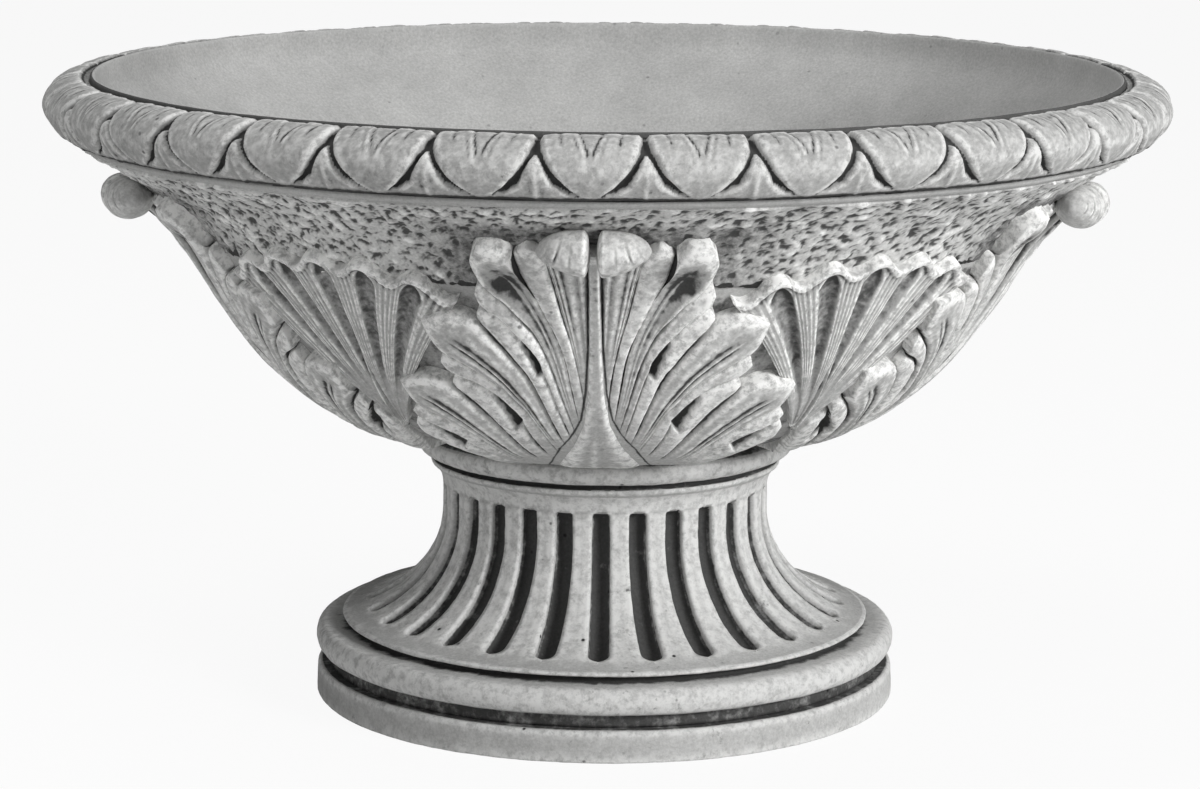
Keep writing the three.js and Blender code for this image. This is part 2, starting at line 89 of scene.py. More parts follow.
# ---------------------------------------------------------------- curves
def bezier(points, count=200):
    t = np.linspace(0, 1, count)[:, None]
    a, b, c, d = (np.array(p) for p in points)
    return (1 - t) ** 3 * a + 3 * (1 - t) ** 2 * t * b + 3 * (1 - t) * t * t * c + t ** 3 * d


def arc(centre, radii, start, end, count):
    turn = np.radians(np.linspace(start, end, count))
    return np.stack([centre[0] + radii[0] * np.cos(turn), centre[1] + radii[1] * np.sin(turn)], axis=1)


def through(points, per_stretch=14):
    """A smooth curve through the points, sampled evenly along its length."""
    knots = np.array([points[0], *points, points[-1]], dtype=float)
    t = np.linspace(0, 1, per_stretch, endpoint=False)[:, None]
    stretches = []
    for a, b, c, d in zip(knots, knots[1:], knots[2:], knots[3:]):
        stretches.append(0.5 * (2 * b + (c - a) * t + (2 * a - 5 * b + 4 * c - d) * t ** 2
                                + (3 * b - a - 3 * c + d) * t ** 3))
    return np.vstack([*stretches, knots[-1:]])


def evenly(points, count, closed=False):
    """The polyline sampled at count places, evenly along its length."""
    points = np.asarray(points, dtype=float)
    if closed:
        points = np.vstack([points, points[:1]])
    length = np.concatenate([[0], np.cumsum(np.linalg.norm(np.diff(points, axis=0), axis=1))])
    places = np.linspace(0, length[-1], count, endpoint=not closed)
    return np.stack([np.interp(places, length, points[:, i]) for i in range(points.shape[1])], axis=1)


def between(values, low, high):
    return (values > low) & (values < high)


def smooth(low, high, x):
    t = np.clip((x - low) / (high - low), 0, 1)
    return t * t * (3 - 2 * t)


# ---------------------------------------------------------------- the bowl's outside
def bowl_profile():
    belly_out, frieze_out = BELLY_RADIUS - SEAT_RADIUS, FILLET_RADIUS - BELLY_RADIUS
    belly = bezier([
        (SEAT_RADIUS, SEAT_Z),
        (SEAT_RADIUS + 0.56 * belly_out, SEAT_Z + 0.12 * BELLY_HEIGHT),
        (SEAT_RADIUS + 0.75 * belly_out, SEAT_Z + 0.55 * BELLY_HEIGHT),
        (BELLY_RADIUS, TURN_Z)])
    frieze = bezier([
        (BELLY_RADIUS, TURN_Z),
        (BELLY_RADIUS + 0.25 * frieze_out, TURN_Z + 0.44 * FRIEZE_HEIGHT),
        (BELLY_RADIUS + 0.63 * frieze_out, TURN_Z + 0.82 * FRIEZE_HEIGHT),
        (FILLET_RADIUS, FILLET_Z)])
    return np.vstack([belly, frieze[1:]])


PROFILE = evenly(bowl_profile(), 600)
PROFILE_SHARE = np.linspace(0, 1, len(PROFILE))
PROFILE_LENGTH = np.linalg.norm(np.diff(PROFILE, axis=0), axis=1).sum()
ALONG = np.gradient(PROFILE, axis=0)
ALONG /= np.linalg.norm(ALONG, axis=1)[:, None]


def section_at(rise, lift):
    """Radius and height of a point: rise is the share of the way up, lift the way out."""
    share = np.clip(rise, 0, 1)
    radius, height, along_r, along_z = (
        np.interp(share, PROFILE_SHARE, values)
        for values in (PROFILE[:, 0], PROFILE[:, 1], ALONG[:, 0], ALONG[:, 1]))
    past = (rise - share) * PROFILE_LENGTH
    return radius + along_z * lift + along_r * past, height - along_r * lift + along_z * past


def on_bowl(azimuth, rise, lift):
    radius, height = section_at(rise, lift)
    turn = np.radians(azimuth)
    return np.stack([radius * np.sin(turn), -radius * np.cos(turn), height], axis=1)


def degrees_across(width, rise):
    return np.degrees(width / section_at(rise, 0)[0])


# ---------------------------------------------------------------- workshop
def clear_selection():
    if bpy.context.mode != "OBJECT":
        bpy.ops.object.mode_set(mode="OBJECT")
    bpy.ops.object.select_all(action="DESELECT")


def choose(*objects):
    clear_selection()
    for obj in objects:
        obj.select_set(True)
    bpy.context.view_layer.objects.active = objects[0]


def named(name):
    obj = bpy.context.object
    obj.name = name
    obj.data.name = name
    return obj


def points_of(obj):
    points = np.empty(len(obj.data.vertices) * 3)
    obj.data.vertices.foreach_get("co", points)
    return points.reshape(-1, 3)


def radii_of(points):
    return np.hypot(points[:, 0], points[:, 1])


def move_points(obj, points):
    obj.data.vertices.foreach_set("co", np.ascontiguousarray(points, dtype=np.float32).ravel())
    obj.data.update()


def sheet_blank(name, columns, rows):
    """A flat sheet of columns by rows faces, one unit each way."""
    clear_selection()
    bpy.ops.mesh.primitive_grid_add(x_subdivisions=columns, y_subdivisions=rows, size=1,
                                    location=(0.5, 0.5, 0))
    bpy.ops.object.transform_apply(location=True)
    return named(name)


def ring_blank(name, around, along):
    """A sheet to roll into a ring. Returns it with each point's place round and along."""
    blank = sheet_blank(name, around, along)
    flat = points_of(blank)
    step = np.rint(flat[:, 0] * around).astype(int)
    place = np.rint(flat[:, 1] * along).astype(int) % along
    return blank, step, place


def roll_up(ring, turn, radius, height):
    """Sets each point at its turn, radius and height, and seals the sheet's edges to each other."""
    move_points(ring, np.stack([radius * np.sin(turn), -radius * np.cos(turn), height], axis=1))
    choose(ring)
    bpy.ops.object.mode_set(mode="EDIT")
    bpy.ops.mesh.select_all(action="SELECT")
    bpy.ops.mesh.remove_doubles(threshold=0.002 * MM)
    bpy.ops.object.mode_set(mode="OBJECT")
    return faced_out(ring)


def turned(name, outline, around):
    """A ring with the closed outline (radius, height) all the way round."""
    ring, step, place = ring_blank(name, around, len(outline))
    return roll_up(ring, step * 2 * math.pi / around, outline[place, 0], outline[place, 1])


def board(name, columns, rows):
    """A flat slab of columns by rows faces, one unit each way, to carve a relief from."""
    slab = sheet_blank(name, columns, rows)
    bpy.ops.object.mode_set(mode="EDIT")
    bpy.ops.mesh.select_all(action="SELECT")
    bpy.ops.mesh.extrude_region_move(TRANSFORM_OT_translate={"value": (0, 0, 1)})
    bpy.ops.object.mode_set(mode="OBJECT")
    return slab


def faced_out(obj):
    choose(obj)
    bpy.ops.object.mode_set(mode="EDIT")
    bpy.ops.mesh.select_all(action="SELECT")
    bpy.ops.mesh.normals_make_consistent(inside=False)
    bpy.ops.object.mode_set(mode="OBJECT")
    bpy.ops.object.shade_smooth()
    return obj


def joined(name, *objects):
    choose(*objects)
    bpy.ops.object.join()
    return named(name)


def copied_round(first, name, azimuth):
    """A copy with its own mesh, turned round the bowl's axis by azimuth degrees."""
    copy = bpy.data.objects.new(name, first.data.copy())
    copy.data.name = name
    bpy.context.scene.collection.objects.link(copy)
    copy.data.transform(Matrix.Rotation(math.radians(azimuth), 4, "Z"))
    return copy


def roughen(obj, kind, grain, depth, middle=0.5, **settings):
    """Pushes the surface in and out by a cloud or cell pattern of that grain, in metres."""
    texture = bpy.data.textures.new(f"{obj.name}_{kind.lower()}", kind)
    texture.noise_scale = grain
    for key, value in settings.items():
        setattr(texture, key, value)
    choose(obj)
    bpy.ops.object.modifier_add(type="DISPLACE")
    push = obj.modifiers[-1]
    push.texture = texture
    push.texture_coords = "LOCAL"
    push.strength = depth
    push.mid_level = middle
    bpy.ops.object.modifier_apply(modifier=push.name)


def uneven(obj, swell, swell_depth, grain, grain_depth, noise_depth=3):
    """Makes the surface a little uneven, in broad swells and in a fine grain."""
    roughen(obj, "CLOUDS", swell, swell_depth)
    roughen(obj, "CLOUDS", grain, grain_depth, noise_depth=noise_depth)


def neighbour_mean(values, edges, degree):
    total = np.empty_like(values)
    for i in range(3):
        total[:, i] = np.bincount(edges[:, 0], values[edges[:, 1], i], len(values))
        total[:, i] += np.bincount(edges[:, 1], values[edges[:, 0], i], len(values))
    return total / degree[:, None]


def add_grime_and_shade(obj, amount):
    """Marks where dirt has settled and where shade is painted, 0 to 1, whatever the shape round the
    point.
    """
    grime_and_shade = obj.data.attributes.get("grime_and_shade") or obj.data.attributes.new("grime_and_shade", "FLOAT", "POINT")
    before = np.empty(len(obj.data.vertices), dtype=np.float32)
    grime_and_shade.data.foreach_get("value", before)
    grime_and_shade.data.foreach_set("value", np.maximum(before, amount).astype(np.float32))


# Takes back the marked dirt and painted shade, and clears the mark.
def take_grime_and_shade(obj):
    grime_and_shade = obj.data.attributes.get("grime_and_shade")
    if grime_and_shade is None:
        return 0.0
    values = np.empty(len(obj.data.vertices), dtype=np.float32)
    grime_and_shade.data.foreach_get("value", values)
    obj.data.attributes.remove(grime_and_shade)
    return values


# How deep a hollow is before it counts in full
FINE_HOLLOW, BROAD_HOLLOW = 0.42 * MM, 2.4 * MM
FINE_SHARE = 0.42


def mark_hollows(obj, fine=4, broad=36, sweep=0.24, extra=0.0, even=None, even_depth=0.44):
    """Stores how deep in a hollow each point lies, 0 on a ridge to 1 in a groove.

    The surface is compared with itself smoothed a little (fine steps) and a lot (broad
    steps). Where even is true, the point takes even_depth instead. Where dirt and
    painted shade are marked, the larger value is kept.
    """
    grime_and_shade = take_grime_and_shade(obj)
    mesh = obj.data
    points = points_of(obj)
    edges = np.empty(len(mesh.edges) * 2, dtype=np.int64)
    mesh.edges.foreach_get("vertices", edges)
    edges = edges.reshape(-1, 2)
    degree = np.bincount(edges.ravel(), minlength=len(points)).astype(float)
    normals = np.empty(len(points) * 3)
    mesh.vertex_normals.foreach_get("vector", normals)
    normals = normals.reshape(-1, 3)
    smoothed = points.copy()
    depth = np.full(len(points), 0.5) + extra
    for step in range(1, broad + 1):
        smoothed = neighbour_mean(smoothed, edges, degree)
        if step == fine:
            depth += FINE_SHARE * np.tanh(((smoothed - points) * normals).sum(axis=1) / FINE_HOLLOW)
        if step == broad:
            depth += sweep * np.tanh(((smoothed - points) * normals).sum(axis=1) / BROAD_HOLLOW)
    if even is not None:
        depth[even] = even_depth
    hollow = mesh.attributes.new("hollow", "FLOAT", "POINT")
    hollow.data.foreach_set("value", np.maximum(np.clip(depth, 0, 1), grime_and_shade).astype(np.float32))


# ---------------------------------------------------------------- stone finish
def added(tree, kind, inputs, **settings):
    """A new node, each of its inputs set to a value or linked to another node's output."""
    node = tree.nodes.new(kind)
    for key, value in settings.items():
        setattr(node, key, value)
    for name, value in inputs.items():
        if isinstance(value, bpy.types.NodeSocket):
            tree.links.new(value, node.inputs[name])
        else:
            node.inputs[name].default_value = value
    return node


def scaled_noise(tree, place, scale, detail, roughness=0.55):
    return added(tree, "ShaderNodeTexNoise", {
        "Vector": place, "Scale": scale, "Detail": detail, "Roughness": roughness}).outputs["Fac"]


def ranged(tree, value, from_low, from_high, to_low=0.0, to_high=1.0, **settings):
    return added(tree, "ShaderNodeMapRange", {
        "Value": value, "From Min": from_low, "From Max": from_high,
        "To Min": to_low, "To Max": to_high}, **settings).outputs["Result"]


def maths(tree, operation, *values):
    return added(tree, "ShaderNodeMath", dict(enumerate(values)), operation=operation).outputs[0]


def blended(tree, factor, first, second, blend="MIX"):
    return added(tree, "ShaderNodeMix", {"Factor": factor, "A": first, "B": second},
                 data_type="RGBA", blend_type=blend).outputs["Result"]


def stone_group():
    """Cast stone: mottled sandy skin, air pores painted near-black for the shade in them, a dark patina
    in hollows with the shade there painted in, and pale rubbed edges with a painted highlight.
    """
    group = bpy.data.node_groups.new("Weathered cast stone", "ShaderNodeTree")
    sockets = [("Stone", "NodeSocketColor"), ("Worn And Highlight", "NodeSocketColor"), ("Patina And Shade", "NodeSocketColor"),
               ("Hollow", "NodeSocketFloat"), ("Patina Start", "NodeSocketFloat"),
               ("Patina Full", "NodeSocketFloat"), ("Wear And Highlight", "NodeSocketFloat"),
               ("Pores", "NodeSocketFloat"), ("Speckle", "NodeSocketFloat")]
    for name, kind in sockets:
        group.interface.new_socket(name, in_out="INPUT", socket_type=kind)
    for name, kind in [("Color", "NodeSocketColor"), ("Roughness", "NodeSocketFloat"),
                       ("Height", "NodeSocketFloat")]:
        group.interface.new_socket(name, in_out="OUTPUT", socket_type=kind)
    given = group.nodes.new("NodeGroupInput")
    result = group.nodes.new("NodeGroupOutput")
    place = group.nodes.new("ShaderNodeTexCoord").outputs["Object"]

    broad = scaled_noise(group, place, 7, 3)
    blotch = scaled_noise(group, place, 42, 5, 0.62)
    sand = scaled_noise(group, place, 520, 4, 0.7)
    grit = scaled_noise(group, place, 170, 5, 0.7)

    # Mottled skin
    mottle = maths(group, "MULTIPLY_ADD", blotch, 0.32, 0.84)
    tone = maths(group, "MULTIPLY", mottle, ranged(group, broad, 0.3, 0.7, 0.88, 1.1))
    tone = maths(group, "MULTIPLY", tone, ranged(group, sand, 0.3, 0.7, 0.8, 1.17))
    shade = added(group, "ShaderNodeCombineColor", {0: tone, 1: tone, 2: tone}).outputs[0]
    skin = blended(group, 1.0, given.outputs["Stone"], shade, "MULTIPLY")

    # Pale rubbed ridges: wear with a painted highlight on them
    ridge = ranged(group, given.outputs["Hollow"], 0.46, 0.12)
    ridge = maths(group, "MULTIPLY", ridge, ranged(group, grit, 0.36, 0.56))
    ridge = maths(group, "MULTIPLY", ridge, given.outputs["Wear And Highlight"])
    skin = blended(group, ridge, skin, given.outputs["Worn And Highlight"])

    # Dark patina, ragged at its edge: patina in the hollows with the shade there painted in, and painted
    # shade wherever it is marked
    ragged = maths(group, "ADD", given.outputs["Hollow"], ranged(group, blotch, 0.3, 0.7, -0.1, 0.1))
    ragged = maths(group, "ADD", ragged, ranged(group, grit, 0.3, 0.7, -0.1, 0.1))
    patina_and_shade = ranged(group, ragged, given.outputs["Patina Start"], given.outputs["Patina Full"],
                    interpolation_type="SMOOTHSTEP")
    grime_and_shade = blended(group, 1.0, given.outputs["Patina And Shade"], shade, "MULTIPLY")
    skin = blended(group, patina_and_shade, skin, grime_and_shade)

    # Dark lichen speckle
    spots = ranged(group, scaled_noise(group, place, 95, 6, 0.75), 0.6, 0.7)
    spots = maths(group, "MULTIPLY", spots, ranged(group, scaled_noise(group, place, 16, 2), 0.48, 0.62))
    spots = maths(group, "MULTIPLY", spots, given.outputs["Speckle"])
    skin = blended(group, spots, skin, given.outputs["Patina And Shade"])

    # Air pores, painted near-black for the shade inside them
    cells = added(group, "ShaderNodeTexVoronoi", {"Vector": place, "Scale": 130, "Randomness": 1})
    rare = ranged(group, cells.outputs["Color"], 0.80, 0.86)
    pore = maths(group, "MULTIPLY", ranged(group, cells.outputs["Distance"], 0.22, 0.1), rare)
    pore = maths(group, "MULTIPLY", pore, given.outputs["Pores"])
    skin = blended(group, pore, skin, (0.02, 0.02, 0.02, 1))
    group.links.new(skin, result.inputs["Color"])

    group.links.new(ranged(group, grit, 0.3, 0.7, 0.84, 0.98), result.inputs["Roughness"])
    fine, coarse = maths(group, "MULTIPLY", sand, 0.35), maths(group, "MULTIPLY", grit, 0.55)
    height = maths(group, "SUBTRACT", maths(group, "ADD", fine, coarse), pore)
    group.links.new(height, result.inputs["Height"])
    return group


STONE = stone_group()
# Blue against red and green in every grey
WARMTH = 0.985


def stone_material(name, stone, worn_and_highlight, patina_and_shade, start=0.56, full=0.82, wear_and_highlight=0.8, pores=0.6, speckle=0.4,
                   relief=0.5 * MM):
    material = bpy.data.materials.new(name)
    material.use_nodes = True
    tree = material.node_tree
    shader = tree.nodes["Principled BSDF"]
    shader.inputs["Specular IOR Level"].default_value = 0.25
    finish = tree.nodes.new("ShaderNodeGroup")
    finish.node_tree = STONE
    for socket, grey in (("Stone", stone), ("Worn And Highlight", worn_and_highlight), ("Patina And Shade", patina_and_shade)):
        finish.inputs[socket].default_value = (grey, grey, grey * WARMTH, 1)
    for socket, value in (("Patina Start", start), ("Patina Full", full), ("Wear And Highlight", wear_and_highlight),
                          ("Pores", pores), ("Speckle", speckle)):
        finish.inputs[socket].default_value = value
    hollow = added(tree, "ShaderNodeAttribute", {}, attribute_name="hollow")
    tree.links.new(hollow.outputs["Fac"], finish.inputs["Hollow"])
    bump = added(tree, "ShaderNodeBump", {
        "Distance": relief, "Strength": 0.9, "Height": finish.outputs["Height"]})
    tree.links.new(finish.outputs["Color"], shader.inputs["Base Color"])
    tree.links.new(finish.outputs["Roughness"], shader.inputs["Roughness"])
    tree.links.new(bump.outputs["Normal"], shader.inputs["Normal"])
    return material


# Per piece: the patina colour also paints the shade in hollows and slots, and the worn colour also
# paints highlights on ridges
CARVED = stone_material("carved_stone", stone=0.5, worn_and_highlight=0.97, patina_and_shade=0.065, start=0.51, full=0.88,
                        wear_and_highlight=1.0)
SHELL_STONE = stone_material("shell_stone", stone=0.48, worn_and_highlight=1.0, patina_and_shade=0.08, start=0.54, full=0.98,
                             wear_and_highlight=1.0)
FRIEZE_STONE = stone_material("frieze_stone", stone=0.64, worn_and_highlight=1.0, patina_and_shade=0.085, start=0.48,
                              full=0.86, wear_and_highlight=1.0, speckle=0.5)
BOWL_STONE = stone_material("bowl_stone", stone=0.46, worn_and_highlight=0.6, patina_and_shade=0.1, wear_and_highlight=0.3, pores=0.35,
                            speckle=0.12, relief=0.3 * MM)
RIM_STONE = stone_material("rim_stone", stone=0.4, worn_and_highlight=0.84, patina_and_shade=0.055, start=0.51, full=0.8,
                           speckle=0.7)
FOOT_STONE = stone_material("foot_stone", stone=0.53, worn_and_highlight=0.82, patina_and_shade=0.075, start=0.6, full=0.92,
                            pores=1.0, speckle=0.8)
BED_MORTAR = stone_material("bed_mortar", stone=0.6, worn_and_highlight=0.9, patina_and_shade=0.08, start=0.45, full=0.7)


def finish_piece(obj, body, slot, material, nodes=(), **hollows):
    mark_hollows(obj, **hollows)
    obj.data.materials.clear()
    obj.data.materials.append(material)
    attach(obj, body)
    if nodes:
        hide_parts(*nodes)
    return obj


# ---------------------------------------------------------------- plinth and pedestal
def make_plinth():
    inner = PLINTH_RADIUS - 50 * MM
    edge = 1.6 * MM
    outline = np.vstack([
        [(PLINTH_RADIUS - edge, 0)],
        arc((PLINTH_RADIUS - edge, edge), (edge, edge), -60, 0, 4),
        evenly([(PLINTH_RADIUS, 2 * edge), (PLINTH_RADIUS - 0.5 * MM, PLINTH_TOP - 5 * MM)], 12),
        arc((PLINTH_RADIUS - 4 * MM, PLINTH_TOP - 4 * MM), (3.5 * MM, 3.7 * MM), 10, 90, 8),
        [(inner, PLINTH_TOP - 0.3 * MM), (inner, 0)],
    ])
    plinth = turned("plinth_ring_stone", outline, 540)
    uneven(plinth, 0.05, 0.8 * MM, 0.009, 0.5 * MM)
    from_edge = PLINTH_RADIUS - radii_of(points_of(plinth))
    # The plinth's top under the pedestal's roll is darker: a stain with painted shade under the roll
    add_grime_and_shade(plinth, 0.88 * smooth(1.5 * MM, 4 * MM, from_edge))
    return finish_piece(plinth, "pedestal", "aged_stone", FOOT_STONE, ["plinth_ring"])


FLUTE_COLUMNS = {"fillet": 5, "wall": 4, "floor": 4}
STEM_RADIUS = 112 * MM
FLARE_RADIUS = 180 * MM
LEDGE_RADIUS = 182 * MM
FLUTE_DEPTH = 8.5 * MM
FLUTE_TOP_WIDTH = 12.5 * MM
FLUTE_FOOT_WIDTH = 15.5 * MM
QUIRK_RADIUS = 191 * MM
LEDGE_GROOVE_RADIUS = 174.5 * MM
NECK_GROOVE_RADIUS = 115.5 * MM
# Heights above the pedestal's foot
ROLL = (8.5 * MM, 26.3 * MM)
LEDGE_GROOVE = (25.8 * MM, 31 * MM)
COLLAR = (125.5 * MM, 136.5 * MM)
NECK_GROOVE = 143.6 * MM
NECK_ROLL_START = 146.5 * MM


def pedestal_outline():
    """The pedestal's closed section, and for each point how far down its flute it lies (or -1)."""
    z = PEDESTAL_BOTTOM
    ledge_top = z + 33.7 * MM
    stem_bottom, stem_top, collar_top = ledge_top + 75 * MM, ledge_top + 90 * MM, ledge_top + 109 * MM
    roll_bottom, roll_top = z + ROLL[0], z + ROLL[1]
    flare = bezier([
        (FLARE_RADIUS, ledge_top), ((FLARE_RADIUS + STEM_RADIUS) / 2, ledge_top + 5.2 * MM),
        (STEM_RADIUS, ledge_top + 34 * MM), (STEM_RADIUS, stem_bottom)])
    fluted = evenly(np.vstack([flare, [(STEM_RADIUS, stem_top)]]), 104)
    base = np.vstack([
        evenly([(QUIRK_RADIUS, z), (QUIRK_RADIUS, roll_bottom)], 5),
        arc((193.4 * MM, (roll_bottom + roll_top) / 2), (7 * MM, 8.9 * MM), -88, 88, 20),
        evenly([(178 * MM, roll_top + 0.3 * MM), (LEDGE_GROOVE_RADIUS, roll_top + 0.8 * MM),
                (LEDGE_GROOVE_RADIUS, roll_top + 4.2 * MM)], 5),
        arc((LEDGE_RADIUS - 2.4 * MM, roll_top + 5.8 * MM), (2.4 * MM, 1.6 * MM), -70, 80, 7),
    ])
    collar = np.vstack([
        bezier([(STEM_RADIUS, stem_top + 0.6 * MM), (STEM_RADIUS + 1 * MM, stem_top + 9 * MM),
                (STEM_RADIUS + 4 * MM, collar_top - 7 * MM), (119.5 * MM, collar_top - 4.4 * MM)], 12),
        arc((118.6 * MM, collar_top - 2.6 * MM), (1.9 * MM, 1.7 * MM), -40, 85, 6),
        evenly([(NECK_GROOVE_RADIUS, collar_top - 0.4 * MM),
                (NECK_GROOVE_RADIUS, collar_top + 2.2 * MM)], 4),
        arc((118 * MM, (collar_top + PEDESTAL_TOP) / 2 + 0.9 * MM), (12 * MM, 8.9 * MM), -84, 86, 20),
    ])
    inside = [
        (62 * MM, PEDESTAL_TOP - 0.2 * MM), (62 * MM, PEDESTAL_TOP - 16.5 * MM),
        (30 * MM, PEDESTAL_TOP - 16.8 * MM), (30 * MM, stem_top), (74 * MM, stem_bottom),
        (74 * MM, stem_bottom - 25 * MM), (150 * MM, roll_bottom + 11 * MM), (150 * MM, z)]
    outline = np.vstack([base, fluted, collar, inside])
    down = np.full(len(outline), -1.0)
    down[len(base):len(base) + len(fluted)] = np.arange(len(fluted))
    return outline, down, fluted


def flute_places():
    """Where the columns across a flute lie, from -1 at one edge to 1 at the other."""
    wall, floor = FLUTE_COLUMNS["wall"], FLUTE_COLUMNS["floor"]
    return np.concatenate([
        np.linspace(-1, -0.72, wall + 1), np.linspace(-0.72, 0.72, floor + 1)[1:-1],
        np.linspace(0.72, 1, wall + 1)])


def carve_flutes(step, place, outline, down, fluted):
    """Each point's turn, radius and height, and how far into a flute it lies, 0 to 1."""
    inside_places = flute_places()
    fillet = FLUTE_COLUMNS["fillet"]
    columns = len(inside_places) + fillet
    pitch = 2 * math.pi / FLUTE_COUNT
    radius, height = outline[place, 0], outline[place, 1]
    station = down[place]
    lengths = np.concatenate([[0], np.cumsum(np.linalg.norm(np.diff(fluted, axis=0), axis=1))])
    foot_end, top_end = 15 * MM, lengths[-1] - 0.8 * MM
    along = np.interp(np.clip(station, 0, None), np.arange(len(lengths)), lengths)
    share = np.clip(along / lengths[-1], 0, 1)
    half = (FLUTE_FOOT_WIDTH + (FLUTE_TOP_WIDTH - FLUTE_FOOT_WIDTH) * share) / 2
    past_foot = np.clip((foot_end + half - along) / half, 0, 1)
    narrow = np.sqrt(np.clip(1 - past_foot ** 2, 0, 1))
    narrow = np.where(station >= 0, narrow, np.where(outline[place, 1] > fluted[-1][1], 1, 0))
    open_top = smooth(top_end + 0.5 * MM, top_end - 1.2 * MM, along)
    depth = FLUTE_DEPTH * np.where(station >= 0, narrow ** 0.3 * open_top, 0)
    column = step % columns
    in_flute = column < len(inside_places)
    across = np.where(in_flute, inside_places[np.minimum(column, len(inside_places) - 1)], 0)
    wide = np.maximum(half * np.maximum(narrow, 0.03), 0.4 * MM) / np.maximum(radius, 60 * MM)
    fillet_step = (column - len(inside_places) + 1) / (fillet + 1)
    turn = (step // columns) * pitch + np.where(
        in_flute, across * wide, wide + fillet_step * (pitch - 2 * wide))
    scoop = np.where(in_flute, np.clip(1 - np.abs(across) ** 5, 0, 1) ** 0.6, 0)
    concave_top = 1.4 * MM * (1 - across ** 2) * smooth(top_end - 3 * MM, top_end + 1 * MM, along)
    lean = np.interp(place, np.arange(len(outline)), np.gradient(outline[:, 0]))
    rise = np.interp(place, np.arange(len(outline)), np.gradient(outline[:, 1]))
    size = np.hypot(lean, rise)
    radius = radius - depth * scoop * rise / size
    height = height + depth * scoop * lean / size
    height = height + np.where((station >= 0) & in_flute, concave_top, 0)
    return turn, radius, height, scoop * depth / FLUTE_DEPTH


def make_pedestal():
    outline, down, fluted = pedestal_outline()
    columns = len(flute_places()) + FLUTE_COLUMNS["fillet"]
    pedestal, step, place = ring_blank("fluted_pedestal_stone", columns * FLUTE_COUNT, len(outline))
    turn, radius, height, cut = carve_flutes(step, place, outline, down, fluted)
    # The insides of the flutes are darker
    add_grime_and_shade(pedestal, 0.85 * smooth(0.2, 0.5, cut))
    roll_up(pedestal, turn, radius, height)
    uneven(pedestal, 0.045, 0.9 * MM, 0.007, 0.7 * MM)
    points = points_of(pedestal)
    radius = radii_of(points)
    above = points[:, 2] - PEDESTAL_BOTTOM
    below_top = PEDESTAL_TOP - points[:, 2]
    under_ledge = between(above, *LEDGE_GROOVE) & (radius < LEDGE_RADIUS - 1 * MM)
    under_neck = np.abs(above - NECK_GROOVE) < 2 * MM
    # Painted shadow in a band at the top, under the leaves' feet, and stain with painted shade in a band
    # at the foot, under the base roll; the ledge and neck grooves are darker too
    shade_at_ends = np.maximum(smooth(11 * MM, 8 * MM, above), smooth(7 * MM, 3.5 * MM, below_top))
    add_grime_and_shade(pedestal, 0.88 * np.maximum(shade_at_ends, under_ledge | under_neck))
    # The collar and neck roll take no patina and the pale rubbed colour all over: painted light, as a
    # low front light would brighten them
    collar = between(above, *COLLAR)
    neck_roll = (above > NECK_ROLL_START) & (below_top > 4.5 * MM) & (radius > STEM_RADIUS)
    return finish_piece(pedestal, "pedestal", "cast_stone", FOOT_STONE, ["fluted_pedestal"],
                        even=collar | neck_roll, even_depth=0.14)


def make_mortar_bed():
    low, high = span("mortar_bed")
    inner, outer = 66 * MM, 121 * MM
    middle = (low + high) / 2
    outline = np.vstack([
        [(inner, low)], evenly([(outer - 4 * MM, low), (outer, middle), (outer - 3 * MM, high)], 9),
        [(inner, high)]])
    bed = turned("mortar_bed_crumbs", outline, 420)
    roughen(bed, "VORONOI", 0.008, 2.2 * MM, middle=0.6)
    return finish_piece(bed, "pedestal", "mortar", BED_MORTAR, ["mortar_bed"])


# ---------------------------------------------------------------- bowl
FRIEZE_START = 0.70


def wall_radius_at(height):
    return np.interp(height, PROFILE[:, 1], PROFILE[:, 0])


def inner_wall():
    rises = np.linspace(0.94, 0.3, 40)
    wall = np.stack(section_at(rises, -WALL * (1 - 0.25 * rises)), axis=1)
    return wall[(wall[:, 0] > FLOOR_RADIUS) & (wall[:, 1] > SEAT_Z + FLOOR_THICKNESS)]


